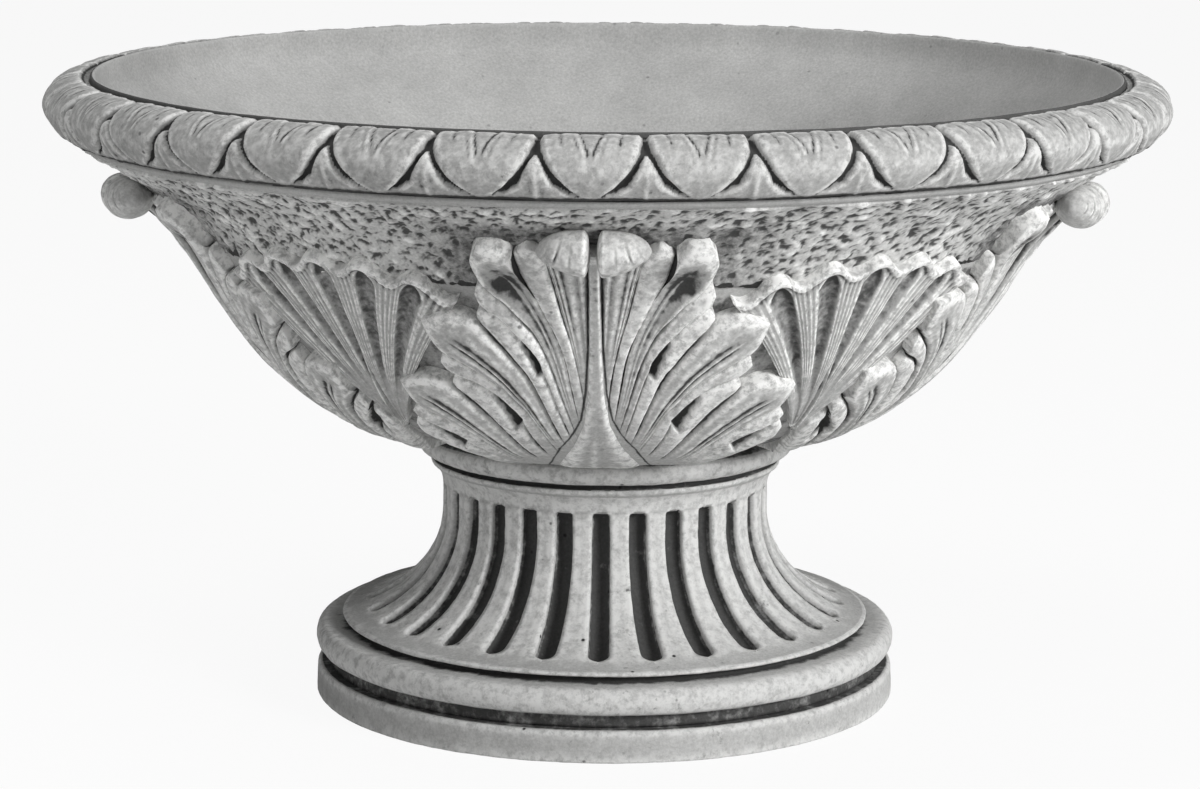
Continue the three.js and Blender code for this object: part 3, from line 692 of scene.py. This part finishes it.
def make_bowl():
    floor = SEAT_Z + FLOOR_THICKNESS
    rises = np.linspace(0, 1, 92)
    under_frieze = smooth(FRIEZE_START, FRIEZE_START + 0.015, rises) * smooth(1.0, 0.985, rises)
    outer = np.stack(section_at(rises, -3.5 * MM * under_frieze), axis=1)
    fillet = reach("bowl_shell")
    step_in = RIM_TOP - 12 * MM
    outline = np.vstack([
        [(SPIGOT_RADIUS, SEAT_Z - SPIGOT_LENGTH), (SPIGOT_RADIUS, SEAT_Z)],
        outer,
        arc((fillet - 2.6 * MM, FILLET_Z + 3.6 * MM), (2.6 * MM, 2.4 * MM), -80, 80, 10),
        [(LIP_RADIUS + 3 * MM, FILLET_Z + FILLET_HEIGHT), (LIP_RADIUS + 3 * MM, step_in)],
        evenly([(LIP_RADIUS + 3 * MM, step_in), (LIP_RADIUS + 2.2 * MM, RIM_TOP - 1 * MM)], 4),
        arc((LIP_RADIUS + 0.6 * MM, LIP_TOP - 1.8 * MM), (1.8 * MM, 1.8 * MM), 20, 160, 8),
        through([(LIP_RADIUS - 1.5 * MM, LIP_TOP - 4 * MM), (LIP_RADIUS - 8 * MM, RIM_TOP - 18 * MM),
                 *inner_wall()[2:][::6]], 6),
        evenly([(FLOOR_RADIUS, floor + 1 * MM), (DRAIN_RADIUS + 4 * MM, floor - 2 * MM)], 14),
        arc((DRAIN_RADIUS + 3 * MM, floor - 5 * MM), (3 * MM, 3 * MM), 90, 180, 4),
        evenly([(DRAIN_RADIUS, floor - 8 * MM), (DRAIN_RADIUS, SEAT_Z - SPIGOT_LENGTH)], 6),
    ])
    bowl = turned("bowl_body", outline, 420)
    uneven(bowl, 0.09, 1.0 * MM, 0.012, 0.35 * MM, noise_depth=2)
    ground = points_of(bowl)
    radius = radii_of(ground)
    wall_radius = wall_radius_at(ground[:, 2])
    # The outside below the frieze, mostly behind the carvings, is darker (extra below): patina with
    # painted shade between and under the carvings
    outside = (np.abs(radius - wall_radius) < 9 * MM) & (ground[:, 2] < FILLET_Z - 3 * MM)
    inside = (radius < wall_radius - 8 * MM) & (radius < LIP_RADIUS - 1.2 * MM)
    # Painted shadow of the rim's overhang on the fillet's top; the strip of lip beside the rim's top is
    # darker too
    rim_shadow_on_fillet = (ground[:, 2] > FILLET_Z + 4.6 * MM) & (ground[:, 2] < RIM_BOTTOM + 2 * MM) & ~inside
    by_lip = (radius > LIP_RADIUS + 0.6 * MM) & (ground[:, 2] > RIM_TOP - 12.5 * MM)
    add_grime_and_shade(bowl, 0.92 * (rim_shadow_on_fillet | by_lip))
    return finish_piece(bowl, "bowl", "cast_stone", BOWL_STONE, ["bowl_shell"], even=inside,
                        extra=np.where(outside & (ground[:, 2] > SEAT_Z), 0.3, 0.0))


def make_frieze():
    """The stippled ground between the leaves and the fillet: a skin on the bowl's frieze."""
    rows = 64
    rises = np.linspace(FRIEZE_START, 0.995, rows)
    skin = np.stack(section_at(rises, 1.2 * MM), axis=1)
    back = np.stack(section_at(rises[::-16], -5 * MM), axis=1)
    frieze = turned("stippled_frieze", np.vstack([skin, back]), 1240)
    points = points_of(frieze)
    roughen(frieze, "VORONOI", 0.013, 2.6 * MM, middle=0.55, distance_metric="DISTANCE",
            weight_1=-0.4, weight_2=0.9)
    roughen(frieze, "CLOUDS", 0.008, 4.2 * MM, noise_depth=2)
    roughen(frieze, "CLOUDS", 0.03, 2.4 * MM)
    moved = points_of(frieze)
    is_back = radii_of(points) < wall_radius_at(points[:, 2]) - 3.5 * MM
    moved[is_back] = points[is_back]
    move_points(frieze, moved)
    raised = radii_of(moved) - radii_of(points)
    pitch = 360 / LEAF_COUNT
    azimuth = np.degrees(np.arctan2(points[:, 0], -points[:, 1]))
    from_leaf = np.abs((azimuth + pitch / 2) % pitch - pitch / 2)
    # The stippling's pits are darker, and more so beside the leaves: dirt with painted shade in the pits
    # and from the leaves' relief
    beside_leaf = smooth(24, 13, from_leaf) * smooth(10 * MM, 22 * MM, FILLET_Z - points[:, 2])
    pits = smooth(0.7 * MM, -0.3 * MM, raised - 1.0 * MM * beside_leaf)
    add_grime_and_shade(frieze, (0.52 + 0.2 * beside_leaf) * pits)
    return finish_piece(frieze, "bowl", "cast_stone", FRIEZE_STONE, fine=3, broad=14)


# ---------------------------------------------------------------- egg and dart
def make_rim():
    """Each egg is a rounded scale, split at its head by a narrow wedge, with a dart between."""
    columns = 50
    inner = LIP_RADIUS + 3.4 * MM
    outside = through([
        (364 * MM, RIM_BOTTOM + 0.4 * MM), (368.5 * MM, RIM_BOTTOM + 3 * MM),
        (375 * MM, RIM_BOTTOM + 11 * MM), (377.8 * MM, RIM_BOTTOM + 19 * MM),
        (374.5 * MM, RIM_BOTTOM + 27 * MM), (366 * MM, RIM_BOTTOM + 33 * MM),
        (353.5 * MM, RIM_TOP - 0.4 * MM)], 12)
    face = evenly(outside, 46)
    outline = np.vstack([face, [(inner, RIM_TOP - 1 * MM), (inner, RIM_BOTTOM + 0.4 * MM)]])
    rim, step, place = ring_blank("egg_and_dart_moulding", columns * EGG_COUNT, len(outline))
    turn = (step + 0.5) * 2 * math.pi / (columns * EGG_COUNT)
    across = ((step % columns) + 0.5) / columns - 0.5
    up = np.clip(place / (len(face) - 1), 0, 1)
    lift = egg_relief(across, up) * (place < len(face))
    lean = np.gradient(outline[:, 0])[place]
    rise = np.gradient(outline[:, 1])[place]
    size = np.hypot(lean, rise)
    radius = outline[place, 0] + lift * rise / size
    height = outline[place, 1] - lift * lean / size
    turn = turn + math.pi / EGG_COUNT - math.pi / EGG_COUNT / columns
    # Painted shade on the rim's curved underside; the top edge by the lip is darker too
    under = smooth(0.15, 0.05, up) * (place < len(face))
    brink = smooth(0.965, 0.99, up) * (place < len(face))
    add_grime_and_shade(rim, 0.9 * np.maximum(under, brink))
    roll_up(rim, turn, radius, height)
    uneven(rim, 0.03, 1.2 * MM, 0.006, 0.8 * MM)
    return finish_piece(rim, "bowl", "cast_stone", RIM_STONE, ["egg_and_dart_rim"], fine=3, broad=20)


# Half widths of an egg and of a dart, as shares of the pitch, by the share of the way up
EGG_EDGE = [(0.05, 0), (0.1, 0.1), (0.2, 0.2), (0.35, 0.31), (0.5, 0.39), (0.65, 0.44), (0.85, 0.468),
            (1, 0.475)]
DART_EDGE = [(0, 0.46), (0.1, 0.34), (0.24, 0.17), (0.4, 0.1), (0.55, 0.04), (0.66, 0)]


def line(distance, width):
    return np.exp(-(distance / width) ** 2)


def egg_relief(across, up):
    """Height of the egg pattern, across the pitch (-0.5 to 0.5 from the egg's middle) and up."""
    across = np.abs(across)
    edge = np.interp(up, *zip(*EGG_EDGE))
    egg = 5.2 * MM * smooth(-0.035, 0.03, edge - across) * (1 + 0.16 * smooth(0, 0.3, edge - across))
    wedge = 0.1 * smooth(0.42, 1.0, up)
    egg -= 0.5 * MM * smooth(0.02, -0.01, across - wedge) * smooth(0.45, 0.6, up)
    egg -= 0.9 * MM * line(across - wedge - 0.012, 0.018) * smooth(0.42, 0.6, up)
    egg -= 0.4 * MM * line(across - wedge - 0.08, 0.018) * smooth(0.45, 0.6, up) * smooth(0.95, 0.8, up)
    egg -= 0.6 * MM * line(across - 0.3 + 0.12 * (1 - up), 0.02) * smooth(0.62, 0.75, up)
    from_dart = 0.5 - across
    dart_half = np.interp(up, *zip(*DART_EDGE))
    dart = 4.7 * MM * smooth(-0.02, 0.03, dart_half - from_dart) * smooth(0.7, 0.5, up)
    dart += 0.8 * MM * line(from_dart, 0.03) * smooth(0.6, 0.3, up)
    foot_band = 4.8 * MM * smooth(0.16, 0.09, up)
    relief = np.maximum(np.maximum(egg, dart), foot_band) - 3.2 * MM
    return relief * smooth(0, 0.03, up) * smooth(1.0, 0.97, up)


# ---------------------------------------------------------------- acanthus leaves
# Half a leaf is a fan of leaflets between grooves. A groove runs through points from
# its root to its end, each as degrees from the midrib and rise up the bowl. Its eye is
# where it opens into a deep slot, as shares of its length.
Groove = namedtuple("Groove", "way eye", defaults=((2, 2),))
GROOVES = [
    Groove([(0.3, 0.06), (0.5, 0.45), (0.6, 0.83)]),
    Groove([(1.0, 0.2), (2.0, 0.44), (3.1, 0.56), (4.4, 0.66), (5.6, 0.8)]),
    Groove([(1.6, 0.18), (3.5, 0.43), (4.5, 0.54), (6.8, 0.65), (8.7, 0.74), (9.2, 0.81)]),
    Groove([(2.2, 0.16), (5.2, 0.43), (7.0, 0.55), (9.4, 0.635), (11.3, 0.683), (13.0, 0.722)]),
    Groove([(3.0, 0.14), (6.1, 0.42), (7.5, 0.51), (9.4, 0.58), (11.3, 0.63), (13.4, 0.655)],
           eye=(0.64, 0.83)),
    Groove([(3.8, 0.12), (8.6, 0.43), (10.9, 0.515), (13.0, 0.573), (14.8, 0.62)]),
    Groove([(5.6, 0.1), (9.6, 0.335), (11.7, 0.395), (14.0, 0.45), (17.0, 0.495), (20.5, 0.535)]),
    Groove([(7.5, 0.08), (11.2, 0.27), (12.2, 0.35), (14.2, 0.415), (16.6, 0.452), (20.2, 0.475)],
           eye=(0.56, 0.81)),
    Groove([(9.5, 0.06), (13.6, 0.21), (16.0, 0.3), (18.5, 0.38), (21.1, 0.437)]),
    Groove([(12.5, 0.04), (18.0, 0.16), (21.2, 0.25), (24.5, 0.315), (28.9, 0.365)]),
    Groove([(15.5, 0.02), (21.5, 0.15), (25.2, 0.24), (27.6, 0.285), (30.0, 0.33)], eye=(0.66, 0.95)),
    Groove([(18.5, 0.0), (24.5, 0.09), (29.5, 0.16), (32.5, 0.23)]),
]
# A leaflet runs from a groove to the next. It has its tip, the points of its edge
# before and after the tip, its lift at the bend and at the tip in millimetres, its
# number of columns, and how strongly it is veined, scratched or cupped.
Leaflet = namedtuple("Leaflet", "before tip after lift columns vein scratches cup", defaults=(0, 0, 0))
LEAFLETS = [
    Leaflet([(2.6, 0.84)], (4.4, 0.84), [(5.4, 0.825)], (8.2, 6.5), 26, scratches=1),
    Leaflet([(5.9, 0.825)], (7.3, 0.85), [(8.4, 0.832)], (8.2, 8), 16),
    Leaflet([(9.2, 0.835), (10.4, 0.858)], (12.5, 0.86), [(13.7, 0.82), (13.5, 0.765)],
            (8.0, 11), 30, vein=0.5, cup=1),
    Leaflet([(14.0, 0.727)], (14.5, 0.705), [(14.2, 0.67)], (8.8, 10.5), 16),
    Leaflet([(14.1, 0.657)], (14.9, 0.65), [(15.0, 0.634)], (9.4, 9.5), 14),
    Leaflet([(16.4, 0.638), (19.0, 0.646)], (22.3, 0.63), [(22.0, 0.585), (21.4, 0.553)],
            (10, 13), 38, vein=1),
    Leaflet([(21.3, 0.531)], (21.8, 0.512), [(20.9, 0.485)], (9, 10.5), 15),
    Leaflet([(20.5, 0.471)], (21.0, 0.46), [(21.2, 0.447)], (9.4, 9.5), 14),
    Leaflet([(22.8, 0.456), (25.6, 0.465)], (29.5, 0.455), [(29.4, 0.41), (29.1, 0.38)],
            (10, 12.5), 36, vein=1),
    Leaflet([(29.8, 0.364)], (31.0, 0.35), [(30.8, 0.336)], (8.8, 9.5), 15),
    Leaflet([(31.4, 0.322)], (33.0, 0.295), [(33.2, 0.262)], (8.5, 8.5), 18),
]
LEAF_ROWS = 128
EDGE_ROWS = 4
# Where a carving's back lies, in millimetres out from the bowl's skin
BACK_LIFT = -3.0
# Millimetres along the bowl for a degree and for the whole rise
LEAF_SCALE = np.array([4.6, 310])


def evenly_on_leaf(points, count):
    return evenly(np.asarray(points) * LEAF_SCALE, count) / LEAF_SCALE


def leaf_columns():
    """Each column's path up the half leaf, its place in its leaflet, and its leaflet's own values."""
    table = {key: [] for key in ("path", "place", "lift", "vein", "eye", "cup", "scratches")}
    t = np.linspace(0, 1, LEAF_ROWS + 1)
    ways = [evenly_on_leaf(through(groove.way), LEAF_ROWS + 1) for groove in GROOVES]
    for i, leaflet in enumerate(LEAFLETS):
        left, right = GROOVES[i], GROOVES[i + 1]
        count = leaflet.columns
        keep = count + 1 if leaflet is LEAFLETS[-1] else count
        place = np.linspace(0, 1, count + 1)[:keep]
        half = count // 2
        before = through([left.way[-1], *leaflet.before, leaflet.tip])
        after = through([leaflet.tip, *leaflet.after, right.way[-1]])
        end = np.vstack([evenly_on_leaf(before, half + 1),
                         evenly_on_leaf(after, count - half + 1)[1:]])[:keep]
        path = ways[i] + place[:, None, None] * (ways[i + 1] - ways[i])
        path = path + (t ** 2)[None, :, None] * (end - path[:, -1])[:, None, :]
        table["path"].append(path)
        table["place"].append(place)
        table["eye"].append(np.array([(left if p < 0.5 else right).eye for p in place]))
        for key in ("lift", "vein", "cup", "scratches"):
            table[key].append(np.tile(getattr(leaflet, key), (keep, 1)))
    return {key: np.concatenate(parts).squeeze() for key, parts in table.items()}


def leaf_lift(col, t):
    """Lift in millimetres at a share t of the way up the leaf's columns, and how far into a slot."""
    place, at_bend, at_tip = col["place"], col["lift"][:, 0], col["lift"][:, 1]
    crest = 6 + (at_bend - 6) * smooth(0.05, 0.45, t) + (at_tip - at_bend) * smooth(0.6, 0.97, t)
    across = np.abs(2 * place - 1)
    cut = smooth(0.2, 0.55, t)
    lift = crest - (2.8 * across ** 2 + 3.0 * smooth(0.7, 1.0, across)) * cut
    veined = smooth(0.25, 0.5, t) * smooth(0.94, 0.84, t) * col["vein"]
    lift -= 1.9 * veined * np.exp(-((place - 0.5) / 0.1) ** 2)
    lift += 1.7 * veined * np.exp(-((place - 0.5) / 0.035) ** 2)
    lift += 0.5 * veined * np.exp(-((np.abs(place - 0.5) - 0.17) / 0.06) ** 2)
    scratches = np.cos(place * 2 * np.pi * 5.5 + 1.5 * np.sin(place * 9)) * smooth(0.5, 0.72, t)
    lift += 0.35 * col["scratches"] * scratches
    hollowed = 1.1 * col["scratches"] + 2.2 * col["cup"]
    lift -= hollowed * smooth(0.35, 0.8, t) * np.cos(np.pi * (place - 0.5))
    fold = np.exp(-((t - 0.96) / 0.085) ** 2)
    outer = smooth(0.5, 0.9, place) * smooth(0.7, 0.86, t)
    pit = np.exp(-((t - 0.84) / 0.05) ** 2 - ((place - 0.4) / 0.22) ** 2)
    lift += col["cup"] * (4.8 * np.maximum(fold, 0.7 * outer) - 0.6 * pit)
    from_groove = np.minimum(place, 1 - place)
    low, high = col["eye"].T
    slot = smooth(0.0, 0.02, t - low) * smooth(0.0, 0.03, high - t)
    slot_width = 0.42 - 0.26 * np.clip((t - low) / np.maximum(high - low, 0.01), 0, 1)
    slot *= np.exp(-(from_groove / slot_width) ** 4)
    lift = lift * (1 - slot) + 0.4 * slot
    return lift - 1.3 * smooth(0.965, 1.0, t) ** 2, slot


def slab_places(slab, columns, rows):
    """Each point's column and row, how far over the side and the tip it is, and if it's at the back."""
    flat = points_of(slab)
    column = np.rint(flat[:, 0] * (columns - 1 + 2 * EDGE_ROWS)).astype(int) - EDGE_ROWS
    row = np.rint(flat[:, 1] * (rows + EDGE_ROWS)).astype(int)
    side_edge = np.maximum(np.maximum(-column, column - columns + 1), 0) / EDGE_ROWS
    tip_edge = np.maximum(row - rows, 0) / EDGE_ROWS
    return np.clip(column, 0, columns - 1), np.minimum(row, rows), side_edge, tip_edge, flat[:, 2] < 0.5


def thin_back(slab, hidden):
    """Thins out the faces whose points all lie hidden against the bowl."""
    choose(slab)
    bpy.ops.object.mode_set(mode="EDIT")
    bpy.ops.mesh.select_mode(type="VERT")
    bpy.ops.mesh.select_all(action="DESELECT")
    bpy.ops.object.mode_set(mode="OBJECT")
    slab.data.vertices.foreach_set("select", hidden)
    bpy.ops.object.mode_set(mode="EDIT")
    bpy.ops.mesh.decimate(ratio=0.12)
    bpy.ops.object.mode_set(mode="OBJECT")


def lay_on_bowl(slab, azimuth, rise, lift, side_edge, tip_edge, tip_length, is_back):
    """Rounds the carved slab's edges down, lays it on the bowl and thins its back."""
    drop = np.maximum(side_edge, tip_edge)
    lift = lift * np.sqrt(np.clip(1 - drop ** 2.6, 0, 1)) - 1.5 * drop
    rise = rise + tip_length * np.sin(tip_edge * math.pi / 2)
    move_points(slab, on_bowl(azimuth, rise, np.where(is_back, BACK_LIFT, lift) * MM))
    faced_out(slab)
    thin_back(slab, is_back)
    return slab


def make_half_leaf(side):
    table = leaf_columns()
    columns = len(table["place"])
    half = board(f"half_leaf_{side}", columns - 1 + 2 * EDGE_ROWS, LEAF_ROWS + EDGE_ROWS)
    column, row, side_edge, tip_edge, is_back = slab_places(half, columns, LEAF_ROWS)
    azimuth, rise = table["path"][column, row].T
    col = {key: table[key][column] for key in table if key != "path"}
    lift, slot = leaf_lift(col, row / LEAF_ROWS)
    # Painted shade in the deep slots of the eyes
    add_grime_and_shade(half, 0.95 * smooth(0.1, 0.5, slot))
    return lay_on_bowl(half, side * azimuth, rise, lift, side_edge, tip_edge, 0.0022, is_back)


def midrib_half(rise):
    return np.interp(rise, [0, 0.12, 0.2, 0.245, 0.285, 0.33, 0.42, 0.56, 0.84],
                     [33, 29, 24, 18.5, 14, 10, 6.6, 4.6, 3.9]) * MM


def painted_shade_beside_midrib(leaf):
    """How dark each of the leaf's points is painted for the shade in the creases beside the midrib."""
    points = points_of(leaf)
    rise = np.interp(points[:, 2], PROFILE[:, 1], PROFILE_SHARE)
    away = np.abs(np.abs(points[:, 0]) - midrib_half(rise))
    return 0.95 * np.exp(-(away / (1.3 * MM)) ** 2)


def make_midrib():
    columns, rows = 30, 150
    rib = board("leaf_midrib", columns, rows)
    flat = points_of(rib)
    across = flat[:, 0] * 2 - 1
    rise = 0.004 + flat[:, 1] * 0.836
    half = midrib_half(rise)
    side = np.clip(1 - np.abs(across) ** 6, 0, 1) ** 0.8
    lift = side * np.interp(rise, [0, 0.1, 0.3, 0.84], [10, 10, 10.6, 9.8])
    lift -= 1.5 * (1 - across ** 2) * smooth(0.42, 0.3, rise)
    lift += 0.6 * np.exp(-((across + 0.1) / 0.12) ** 2) * smooth(0.36, 0.2, rise)
    lift = np.where(flat[:, 2] > 0.5, lift - 0.5, BACK_LIFT)
    move_points(rib, on_bowl(across * degrees_across(half, rise), rise, lift * MM))
    return faced_out(rib)


def level_feet(obj):
    """Trims the feet of the leaves level, just under the bowl's seat."""
    points = points_of(obj)
    floor = SEAT_Z - 1.2 * MM
    low = points[:, 2] < floor
    points[low, 2] = floor + 0.12 * (points[low, 2] - floor)
    move_points(obj, points)


# ---------------------------------------------------------------- curled leaf tips
def make_curl():
    """The leaf's tip, curled over into two cushions with a slot between them."""
    halves = []
    for side in (-1, 1):
        clear_selection()
        bpy.ops.mesh.primitive_uv_sphere_add(segments=80, ring_count=72, radius=1,
                                             rotation=(0, math.pi / 2, 0))
        bpy.ops.object.transform_apply(rotation=True)
        half = named(f"curl_half_{side}")
        ball = points_of(half)
        out = (1 + side * ball[:, 0]) / 2
        round_axis = np.maximum(np.hypot(ball[:, 1], ball[:, 2]), 1e-6)
        front, up = -ball[:, 1] / round_axis, ball[:, 2] / round_axis
        swell = np.clip(1 - out ** 3, 0, 1) ** 0.55 * np.sqrt(1 - (1 - np.clip(out / 0.13, 0, 1)) ** 2)
        faced = smooth(-0.2, 0.5, front) * smooth(1.0, 0.3, np.abs(up - 0.1))
        for at, lean, deep in ((0.36, 0.02, 0.03), (0.6, 0.1, 0.09), (0.8, 0.12, 0.04)):
            crease = deep * smooth(0.9, -0.5, up) * faced
            swell = swell - crease * np.exp(-((out + lean * up - at) / 0.024) ** 2)
        x = side * (1.9 + 33 * out)
        y = -16.0 * front * swell * (1 - 0.2 * out ** 2)
        z = 14.6 * up * swell * np.where(up < 0, 1 - 0.34 * out ** 1.5, 1 - 0.1 * out) + 1.5 * out
        move_points(half, np.stack([x, y, z], axis=1) * MM)
        halves.append(faced_out(half))
    curl = joined("curl", *halves)
    centre = on_bowl(np.array([0.0]), np.array([0.868]), np.array([12.5 * MM]))[0]
    move_points(curl, points_of(curl) + centre)
    return curl


# ---------------------------------------------------------------- shells
SHELL_FOOT, SHELL_EDGE, SHELL_HALF = 0.29, 0.752, 19.0
CHANNELS = 5


def make_shell():
    channel_columns, rib_columns, rows = 14, 18, 116
    rib_places = np.arange(rib_columns) / rib_columns
    channel_places = np.arange(channel_columns) / channel_columns
    inside = np.concatenate([*[rib_places, channel_places] * CHANNELS, rib_places, [1.0]])
    is_rib = np.concatenate([*[np.ones(rib_columns, bool), np.zeros(channel_columns, bool)] * CHANNELS,
                             np.ones(rib_columns + 1, bool)])
    columns = len(inside)
    pair = np.arange(columns) // (rib_columns + channel_columns)
    half_pitch = 0.5
    where = (pair + (inside + ~is_rib) * half_pitch) / (CHANNELS + half_pitch) * 2 - 1
    shell = board("shell", columns - 1 + 2 * EDGE_ROWS, rows + EDGE_ROWS)
    column, row, side_edge, tip_edge, is_back = slab_places(shell, columns, rows)
    t = row / rows
    way, rib, place = where[column], is_rib[column], inside[column]
    wave = np.where(rib, -np.sin(np.pi * place), np.sin(np.pi * place) ** 0.8)
    top = SHELL_EDGE - 0.075 * way ** 2 + 0.017 * wave
    climb = t ** 0.9
    rise = SHELL_FOOT + (top - SHELL_FOOT) * climb
    azimuth = way * (0.9 + (SHELL_HALF - 0.9) * climb ** 1.05)
    lift = np.where(rib, 6.2 + 0.9 * np.sin(np.pi * place), 6.2)
    stripes = np.cos(place * 2 * np.pi * 4.5 + way * 3)
    lift += np.where(rib, 0.28 * stripes * smooth(0.18, 0.45, t), 0)
    channel_end = 0.935 - 0.06 * (2 * place - 1) ** 2
    cut = smooth(0.1, 0.45, t) * smooth(channel_end + 0.02, channel_end - 0.02, t)
    lift -= np.where(rib, 0, 4.4 * cut * np.clip(1 - (2 * place - 1) ** 2, 0, 1) ** 0.7)
    lift += (1.5 + np.where(rib, 0, 0.8)) * smooth(0.95, 0.975, t)
    lift += 3.0 * np.exp(-(way / 0.04) ** 2) * smooth(0.5, 0.25, t)
    return lay_on_bowl(shell, azimuth, rise, lift, side_edge, tip_edge, 0.003, is_back)


def make_ornament():
    """Carves one leaf, one curl and one shell, and sets five of each round the bowl."""
    leaf = joined("leaf", make_half_leaf(-1), make_half_leaf(1), make_midrib())
    add_grime_and_shade(leaf, painted_shade_beside_midrib(leaf))
    level_feet(leaf)
    curl = make_curl()
    shell = make_shell()
    pitch = 360 / LEAF_COUNT
    for i in range(LEAF_COUNT):
        kinds = (
            (leaf, f"carved_leaf_{i + 1}", f"acanthus_leaf_{i + 1}", i * pitch, CARVED),
            (curl, f"carved_curl_{i + 1}", f"curled_leaf_tip_{i + 1}", i * pitch, CARVED),
            (shell, f"carved_shell_{i + 1}", f"shell_palmette_{i + 1}", (i + 0.5) * pitch, SHELL_STONE),
        )
        for first, name, node, azimuth, material in kinds:
            piece = copied_round(first, name, azimuth)
            uneven(piece, 0.035, 1.1 * MM, 0.005, 0.55 * MM)
            # Broad hollows count more on the carvings: their patina also paints the shade in the wide
            # hollows
            finish_piece(piece, "bowl", "cast_stone", material, [node], sweep=0.4)
    for first in (leaf, curl, shell):
        bpy.data.objects.remove(first)


# ---------------------------------------------------------------- studio
def make_floor():
    clear_selection()
    bpy.ops.mesh.primitive_plane_add(size=14, location=(0, 0, 0))
    floor = named("studio_floor")
    material = bpy.data.materials.new("studio_white")
    material.use_nodes = True
    tree = material.node_tree
    tree.nodes.clear()
    seen = tree.nodes.new("ShaderNodeLightPath").outputs["Is Camera Ray"]
    matt = added(tree, "ShaderNodeBsdfDiffuse", {"Color": (0.8, 0.8, 0.8, 1)})
    glow = added(tree, "ShaderNodeEmission", {"Strength": 1.0})
    mix = added(tree, "ShaderNodeMixShader", {
        0: maths(tree, "MULTIPLY", seen, 0.93), 1: matt.outputs[0], 2: glow.outputs[0]})
    added(tree, "ShaderNodeOutputMaterial", {"Surface": mix.outputs[0]})
    floor.data.materials.append(material)


def make_world():
    world = bpy.data.worlds.new("studio_air")
    bpy.context.scene.world = world
    world.use_nodes = True
    tree = world.node_tree
    air = tree.nodes["Background"]
    air.inputs["Color"].default_value = (1, 1, 1, 1)
    seen = tree.nodes.new("ShaderNodeLightPath").outputs["Is Camera Ray"]
    tree.links.new(ranged(tree, seen, 0, 1, 0.06, 0.93), air.inputs["Strength"])


def make_lamp(name, place, aim, size, power):
    lamp = bpy.data.objects.new(name, bpy.data.lights.new(name, "AREA"))
    lamp.data.shape = "SQUARE"
    lamp.data.size = size
    lamp.data.energy = power
    bpy.context.scene.collection.objects.link(lamp)
    lamp.location = place
    lamp.rotation_euler = (Vector(aim) - lamp.location).to_track_quat("-Z", "Y").to_euler()


def make_camera():
    """The photograph's view: a long lens, a little above the lip, looking slightly down."""
    focal_px, frame_px, axis_px = 3800, 1200, 606
    distance, height, pitch = 2.575, 0.701, 0.190
    yaw, roll = math.radians(1.5), math.radians(0.35)
    sensor_mm = 36
    data = bpy.data.cameras.new("photo_view")
    data.sensor_width = sensor_mm
    data.lens = sensor_mm * focal_px / frame_px
    camera = bpy.data.objects.new("photo_view", data)
    bpy.context.scene.collection.objects.link(camera)
    aside = (axis_px - frame_px / 2) / focal_px * distance
    camera.location = Matrix.Rotation(yaw, 3, "Z") @ Vector((-aside, -distance, height))
    turn = Matrix.Rotation(yaw, 3, "Z") @ Matrix.Rotation(math.pi / 2 - pitch, 3, "X")
    camera.rotation_euler = (turn @ Matrix.Rotation(roll, 3, "Z")).to_euler()
    bpy.context.scene.camera = camera


make_camera()
make_floor()
make_world()
make_lamp("key", (2.8, -2.3, 1.7), (0, 0, 0.3), 1.3, 118)
make_lamp("fill", (-3.0, -2.6, 1.6), (0, 0, 0.25), 2.2, 23)
make_lamp("top", (-0.7, -0.2, 3.1), (0, 0, 0.3), 1.8, 36)
bpy.context.scene.view_settings.view_transform = "Standard"

make_plinth()
make_pedestal()
make_mortar_bed()
make_bowl()
make_frieze()
make_rim()
make_ornament()
